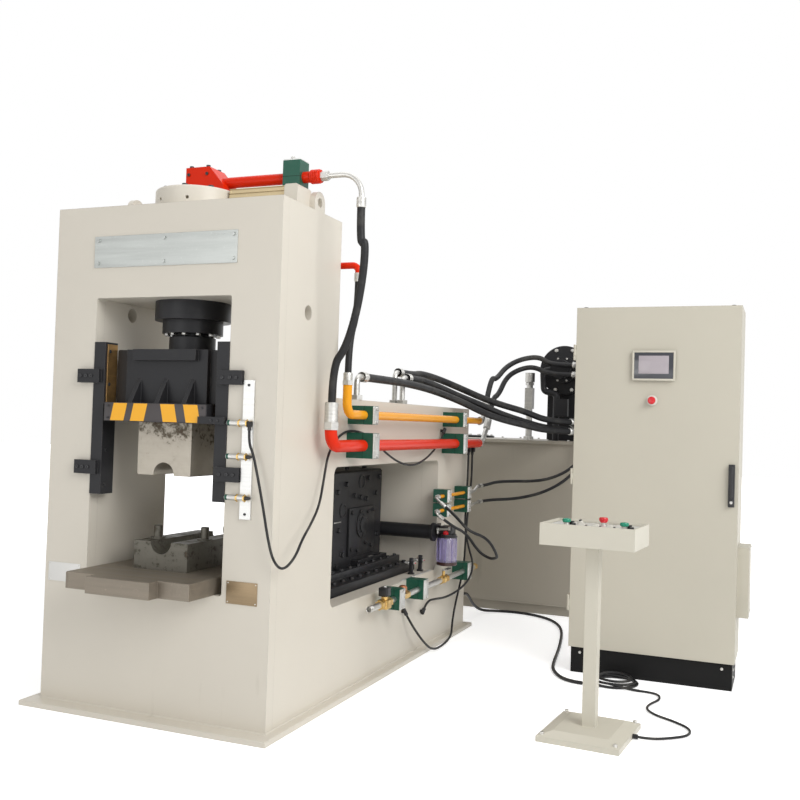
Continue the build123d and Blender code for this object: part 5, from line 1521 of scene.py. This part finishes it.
def on_panel(x, y, z=0.0):
    """Point over the pedestal's panel."""
    return PEDESTAL @ Vector((x, y, PANEL_Z + z))


def add_key(target, centre, half, foot, top, bevel=0.002):
    """Block on the pedestal's panel, about a centre, between two heights over the panel."""
    add_post(target, centre, half, PANEL_Z + foot, PANEL_Z + top, bevel, PEDESTAL)


class PRESS_OT_fit_pedestal(bpy.types.Operator):
    """Builds the panel and the buttons of the pedestal"""

    bl_idname = "press.fit_pedestal"
    bl_label = "Fit the Pedestal"

    def execute(self, context):
        green, red, clear, black, panel, silver, beads = fresh(7)
        stem = capped((0.017, 0), (0.017, 0.004), (0.0135, 0.006), (0.0135, 0.017))
        head = [
            (0, 0.014), (0.012, 0.014), (0.0195, 0.019), (0.0205, 0.027), (0.018, 0.0325), (0.010, 0.0345),
            (0, 0.035),
        ]
        tall = [
            (0, 0.014), (0.013, 0.014), (0.0205, 0.024), (0.021, 0.032), (0.0185, 0.0385), (0.010, 0.0400),
            (0, 0.0405),
        ]
        for x, y in MUSHROOMS:
            add_turned(silver, stem, on_panel(x, y), UP, 28)
            add_turned(green, head, on_panel(x, y), UP, 28)
            add_key(black, (x + 0.012, y + 0.040), (0.012, 0.010), 0, 0.020)
            add_key(black, (x + 0.032, y + 0.009), (0.008, 0.007), 0, 0.014)
            add_key(clear, (x + 0.029, y + 0.023), (0.007, 0.007), 0, 0.014)
        finish_piece("green_mushrooms", green, "frame", "green_button", replaces=("pedestal_buttons",))
        add_turned(silver, stem, on_panel(*STOP_PLACE), UP, 28)
        add_turned(red, tall, on_panel(*STOP_PLACE), UP, 28)
        finish_piece("red_mushroom", red, "frame", "red_button")
        for x in BUTTON_ROW:
            add_key(clear, (x, BUTTON_Y), (0.0165, 0.0165), 0, 0.013)
            add_key(clear, (x, BUTTON_Y), (0.0135, 0.0135), 0.012, 0.019)
            add_key(black, (x + 0.0195, BUTTON_Y), (0.002, 0.0145), 0, 0.010, 0.001)
        switch = capped((0.016, 0), (0.016, 0.004), (0.0135, 0.006), (0.0135, 0.015), (0.011, 0.017))
        add_turned(clear, switch, on_panel(*SWITCH_PLACE), UP, 28)
        add_key(black, SWITCH_PLACE, (0.004, 0.013), 0.016, 0.024)
        finish_piece("clear_buttons", clear, "frame", "clear_plastic")
        add_key(black, (0, 0), (0.2090, 0.1415), -0.0005, 0.0006, 0.0002)
        finish_piece("pedestal_black", black, "frame", "black_plastic")
        add_key(panel, (0, 0), (0.2050, 0.1375), 0, PANEL_T, 0.0004)
        finish_piece("pedestal_panel", panel, "frame", "alu")
        for x in (-0.195, 0.195):
            for y in (-0.128, 0.128):
                add_socket(silver, on_panel(x, y, PANEL_T), UP, 0.008, 0.0028)
        for x in (-0.165, 0.165):
            for y in (-0.195, 0.195):
                add_hex(silver, PEDESTAL @ Vector((x, y, 0.030)), UP, 0.017, 0.010)
        finish_piece("pedestal_silver", silver, "frame", "zinc")
        h = POST_HALF
        for z in (0.045, 0.870):
            corners = [
                PEDESTAL @ Vector((x, y, z)) for x, y in ((-h, -h), (h, -h), (h, h), (-h, h), (-h, -h))
            ]
            for start, end in zip(corners, corners[1:]):
                add_weld(beads, start, end, 0.003, 0.006)
        finish_piece("pedestal_welds", beads, "frame", "pedestal", angle=60)
        return {"FINISHED"}


# The tank: its middle across, the distance of the lid's bolts from its edge, their size, the places of the
# filler and of the round cover, and the circle of the cover's bolts.
TANK_MIDDLE = 0.45
LID_INSET = 0.022
LID_BOLT = (0.016, 0.009)
FILLER = (-0.20, 3.50)
COVER = Vector((0.22, 3.90, 0))
COVER_CIRCLE = 0.15


class PRESS_OT_fit_tank(bpy.types.Operator):
    """Adds the lid bolts, the level gauge, the drain plugs, the filler and the round cover of the tank"""

    bl_idname = "press.fit_tank"
    bl_label = "Fit the Tank"

    def execute(self, context):
        low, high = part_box("tank_lid")
        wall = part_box("tank_body")[0]
        bolts, gauge, dark, seam = fresh(4)
        rows_x = (low.x + LID_INSET, high.x - LID_INSET)
        rows_y = (low.y + LID_INSET, high.y - LID_INSET)
        along = spread(low.x + 0.03, high.x - 0.03, 12)
        add_rows(add_hex, bolts, along, rows_y, [high.z], UP, *LID_BOLT)
        add_rows(add_hex, bolts, rows_x, spread(*rows_y, 8)[1:-1], [high.z], UP, *LID_BOLT)
        add_rows(add_hex, bolts, [0.05], [wall.y], (0.42, 0.72), FRONT, 0.022, 0.012)
        drain = capped((0.022, 0), (0.022, 0.010), (0.014, 0.014))
        add_rows(lambda target, place: add_turned(target, drain, place, FRONT, 20), bolts,
                 (-0.40, 1.30), [wall.y], [0.115])
        add_block(gauge, (0.034, wall.y - 0.020, 0.40), (0.066, wall.y, 0.74), 0.004)
        finish_piece("level_gauge", gauge, "frame", "bowl")
        cap = [
            (0, 0), (0.060, 0), (0.060, 0.012), (0.045, 0.018), (0.045, 0.060), (0.050, 0.064), (
                0.050, 0.096
            ),
            (0.044, 0.104), (0, 0.106),
        ]
        add_turned(dark, cap, (*FILLER, high.z), UP, 36)
        lid = COVER + UP * high.z
        add_turned(dark, capped((0.17, 0), (0.17, 0.014), (0.16, 0.018)), lid, UP, 48)
        for way in spokes(12):
            add_hex(bolts, lid + way * COVER_CIRCLE + UP * 0.018, UP, 0.016, 0.008)
        finish_piece("tank_bolts", bolts, "frame", "zinc")
        finish_piece("tank_caps", dark, "frame", "black")
        far = 2 * TANK_MIDDLE - wall.x
        for x in (wall.x, far):
            add_weld(seam, (x, wall.y, 0.075), (x, wall.y, 1.28), 0.0045)
        add_weld(seam, (wall.x, wall.y, 0.0725), (far, wall.y, 0.0725), 0.004)
        finish_piece("tank_seams", seam, "frame", "tank", angle=60)
        return {"FINISHED"}


# The motor: a point on its axis where the pump's flange sits, and the circles of the two rings of bolts.
MOTOR = Vector((1.080, 3.44, 1.860))
FLANGE_CIRCLE, PUMP_CIRCLE = 0.165, 0.090


class PRESS_OT_fit_motor(bpy.types.Operator):
    """Adds the cowl, the terminal box and the bolts of the motor and pump"""

    bl_idname = "press.fit_motor"
    bl_label = "Fit the Motor"

    def execute(self, context):
        x, z = MOTOR.x, MOTOR.z
        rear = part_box("motor")[1].y
        box, bolts = fresh(2)
        add_block(box, (x + 0.150, 3.62, z + 0.02), (x + 0.188, 3.80, z + 0.14), 0.006)
        add_block(box, (x - 0.07, 3.60, z + 0.150), (x + 0.07, 3.76, z + 0.1895), 0.006)
        for way in spokes(8, 0.5, RIGHT, UP):
            add_hex(bolts, MOTOR + way * FLANGE_CIRCLE, FRONT, 0.022, 0.013)
            add_socket(bolts, MOTOR + way * PUMP_CIRCLE + FRONT * 0.060, FRONT, 0.016, 0.010)
        for i in range(5):
            inner = 0.030 * (i + 1)
            outer = inner + 0.012
            slot = [(inner, 0), (outer, 0), (outer, 0.004), (inner, 0.004), (inner, 0)]
            add_turned(box, slot, (x, rear - 0.001, z), REAR, 36)
        add_rows(add_hex, bolts, (x - 0.13, x + 0.13), (3.58, 3.82), [1.730], UP, 0.024, 0.014)
        finish_piece("motor_boxes", box, "frame", "black")
        finish_piece("motor_bolts", bolts, "frame", "zinc")
        return {"FINISHED"}


# The valve stack: its left and front faces, the axis of its solenoids and their heights.
STACK_LEFT, STACK_FRONT = 1.240, 3.170
SOLENOID_X = 1.3775
SOLENOIDS = (1.570, 1.660, 1.740)


class PRESS_OT_fit_valves(bpy.types.Operator):
    """Adds the solenoids, plugs and bolts of the valve stack and the filter column"""

    bl_idname = "press.fit_valves"
    bl_label = "Fit the Valves"

    def execute(self, context):
        coils, beige, silver = fresh(3)
        left, front = STACK_LEFT, STACK_FRONT
        for z in SOLENOIDS:
            tip = (SOLENOID_X, front - 0.045, z)
            add_rod(coils, (SOLENOID_X, front + 0.025, z), tip, 0.022)
            add_hex(silver, tip, FRONT, 0.018, 0.012, washer=False)
            add_block(coils, (1.360, front - 0.010, z + 0.018), (1.395, front + 0.020, z + 0.038), 0.003)
        for y, z in ((3.210, 1.812), (3.230, 1.885)):
            add_hex(silver, (left - 0.040, y, z), LEFT, 0.046, 0.010, washer=False)
        depths = (front + 0.020, 3.310)
        add_rows(add_socket, silver, [left], depths, (1.350, 1.520, 1.640, 1.930), LEFT, 0.014, 0.008)
        add_rows(add_hex, silver, [1.295], [front], (1.50, 1.60, 1.90), FRONT, 0.030, 0.012)
        add_rows(add_socket, silver, (1.262, 1.328), depths, [1.960], UP, 0.018, 0.010)
        add_block(beige, (1.250, front - 0.040, 1.6200), (1.315, front, 1.7000), 0.005)
        add_block(beige, (1.262, front - 0.048, 1.6350), (1.303, front - 0.039, 1.6850), 0.003)
        finish_piece("valve_coils", coils, "frame", "black_plastic")
        finish_piece("valve_plug", beige, "frame", "cabinet")
        low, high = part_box("tank_fittings")
        x, y = (low.x + high.x) / 2, (low.y + high.y) / 2
        add_hex(silver, (x, y, 1.310), UP, 0.070, 0.024)
        add_hex(silver, (x, y, 1.741), UP, 0.060, 0.022, washer=False)
        sides = (x - 0.022, x + 0.022)
        add_rows(add_socket, silver, sides, [low.y + 0.007], (1.700, 1.575), FRONT, 0.010, 0.004)
        finish_piece("valve_silver", silver, "frame", "zinc")
        return {"FINISHED"}


# The photograph's viewpoint: place in metres, then turn, tilt and roll in degrees. The sensor's width is in
# millimetres.
EYE = Vector((2.7245, -3.985, 1.400))
EYE_TURN, EYE_TILT, EYE_ROLL = 22.10, 1.433, 1.811
SENSOR_WIDTH = 36.0
# The lamps: place, the point each looks at, size and power.
LAMPS = {
    "key": ((7.5, -3.0, 5.5), (0.6, 0.9, 1.0), 5.0, 480.0),
    "front_fill": ((-2.0, -7.5, 1.9), (0.2, 0.0, 0.8), 4.0, 78.0),
    "top": ((0.5, 1.5, 7.5), (0.6, 1.2, 0.0), 6.0, 115.0),
}


class PRESS_OT_stage(bpy.types.Operator):
    """Builds the pale floor, the studio light and the camera"""

    bl_idname = "press.stage"
    bl_label = "Stage"

    def execute(self, context):
        sizes = context.scene.press_sizes
        floor = bmesh.new()
        bmesh.ops.create_grid(floor, x_segments=1, y_segments=1, size=sizes.floor_reach)
        mesh = bpy.data.meshes.new("studio_floor")
        floor.to_mesh(mesh)
        floor.free()
        mesh.materials.append(floor_finish())
        ground = bpy.data.objects.new("studio_floor", mesh)
        context.scene.collection.objects.link(ground)
        light_world(context.scene)
        for name, facts in LAMPS.items():
            add_lamp(name, *facts)
        set_camera(context.scene, sizes.lens)
        context.scene.view_settings.view_transform = "Standard"
        return {"FINISHED"}


def background_rays(tree):
    """1 for rays that should meet the plain white background."""
    path = tree.nodes.new("ShaderNodeLightPath")
    seen = reckon(tree, "MAXIMUM", path.outputs["Is Camera Ray"], path.outputs["Is Glossy Ray"])
    return reckon(tree, "MAXIMUM", seen, path.outputs["Is Transmission Ray"])


# Lift of the floor towards white near the press and far from it, and the distances between which it grows.
FLOOR_LIFT, FAR_LIFT = 0.48, 1.2
FADE_FROM, FADE_TO = 5.0, 9.0


def floor_finish():
    """Matte white floor that keeps the shadow near the press and fades to plain white far from it."""
    material, tree, shader, place = start_material("studio_floor")
    away = tree.nodes.new("ShaderNodeVectorMath")
    away.operation = "LENGTH"
    tree.links.new(place, away.inputs[0])
    faded = ranged(tree, away.outputs["Value"], FADE_FROM, FADE_TO, FLOOR_LIFT, FAR_LIFT)
    lift = reckon(tree, "MULTIPLY", background_rays(tree), faded)
    wire(tree, shader, Base_Color=(0.9, 0.9, 0.9, 1), Roughness=0.9)
    wire(tree, shader, Emission_Color=(1, 1, 1, 1), Emission_Strength=lift)
    return material


# How strongly the sky lights the press.
SKY_LIGHT = 0.50


def light_world(scene):
    """Even sky for the object, plain white where it is seen."""
    world = bpy.data.worlds.new("studio")
    scene.world = world
    world.use_nodes = True
    tree = world.node_tree
    strength = ranged(tree, background_rays(tree), 0.0, 1.0, SKY_LIGHT, 1.0)
    wire(tree, tree.nodes["Background"], Color=(1, 1, 1, 1), Strength=strength)


def add_lamp(name, place, target, size, power):
    """Square lamp that looks at the target."""
    lamp = bpy.data.lights.new(name, "AREA")
    lamp.shape = "SQUARE"
    lamp.size = size
    lamp.energy = power
    holder = bpy.data.objects.new(name, lamp)
    holder.location = place
    holder.rotation_euler = (Vector(target) - Vector(place)).to_track_quat("-Z", "Y").to_euler()
    bpy.context.scene.collection.objects.link(holder)


def set_camera(scene, lens):
    """Camera at the photograph's viewpoint."""
    turn, tilt, roll = (math.radians(a) for a in (EYE_TURN, EYE_TILT, EYE_ROLL))
    ahead = Vector((-math.sin(turn) * math.cos(tilt), math.cos(turn) * math.cos(tilt), math.sin(tilt)))
    level = Vector((math.cos(turn), math.sin(turn), 0))
    above = level.cross(ahead)
    across = level * math.cos(roll) + above * math.sin(roll)
    upward = above * math.cos(roll) - level * math.sin(roll)
    camera = bpy.data.cameras.new("camera")
    camera.lens = lens
    camera.sensor_width = SENSOR_WIDTH
    camera.clip_end = 200
    holder = bpy.data.objects.new("camera", camera)
    turned = Matrix((across, upward, -ahead)).transposed().to_4x4()
    holder.matrix_world = Matrix.Translation(EYE) @ turned
    scene.collection.objects.link(holder)
    scene.camera = holder


class PRESS_PT_panel(bpy.types.Panel):
    """Lists the pieces of the press and their settings"""

    bl_idname = "PRESS_PT_panel"
    bl_label = "Hydraulic Press"
    bl_space_type = "VIEW_3D"
    bl_region_type = "UI"
    bl_category = "Press"

    def draw(self, context):
        layout = self.layout
        for step in STEPS:
            layout.operator(step.bl_idname)
        for settings in (context.scene.press_colours, context.scene.press_sizes):
            box = layout.box()
            for key in settings.bl_rna.properties.keys():
                if key not in ("rna_type", "name"):
                    box.prop(settings, key)


STEPS = (
    PRESS_OT_paint_frame,
    PRESS_OT_lay_hoses,
    PRESS_OT_wind_coil,
    PRESS_OT_hazard_plate,
    PRESS_OT_bolt_guides,
    PRESS_OT_bolt_gland,
    PRESS_OT_weld_seams,
    PRESS_OT_fit_slide,
    PRESS_OT_fit_sensors,
    PRESS_OT_fit_plates,
    PRESS_OT_cover_clamps,
    PRESS_OT_water_line,
    PRESS_OT_lubricator,
    PRESS_OT_fit_manifold,
    PRESS_OT_dress_block,
    PRESS_OT_lay_guides,
    PRESS_OT_fit_probes,
    PRESS_OT_fit_door,
    PRESS_OT_fit_cabinet,
    PRESS_OT_fit_pedestal,
    PRESS_OT_fit_tank,
    PRESS_OT_fit_motor,
    PRESS_OT_fit_valves,
    PRESS_OT_stage,
)
CLASSES = (PressColours, PressSizes, *STEPS, PRESS_PT_panel)


def register():
    for kind in CLASSES:
        bpy.utils.register_class(kind)
    bpy.types.Scene.press_colours = bpy.props.PointerProperty(type=PressColours)
    bpy.types.Scene.press_sizes = bpy.props.PointerProperty(type=PressSizes)


def unregister():
    del bpy.types.Scene.press_sizes
    del bpy.types.Scene.press_colours
    for kind in reversed(CLASSES):
        bpy.utils.unregister_class(kind)


def main():
    """Builds every piece in order."""
    register()
    for step in STEPS:
        kind, name = step.bl_idname.split(".")
        getattr(getattr(bpy.ops, kind), name)()


if __name__ == "__main__":
    main()
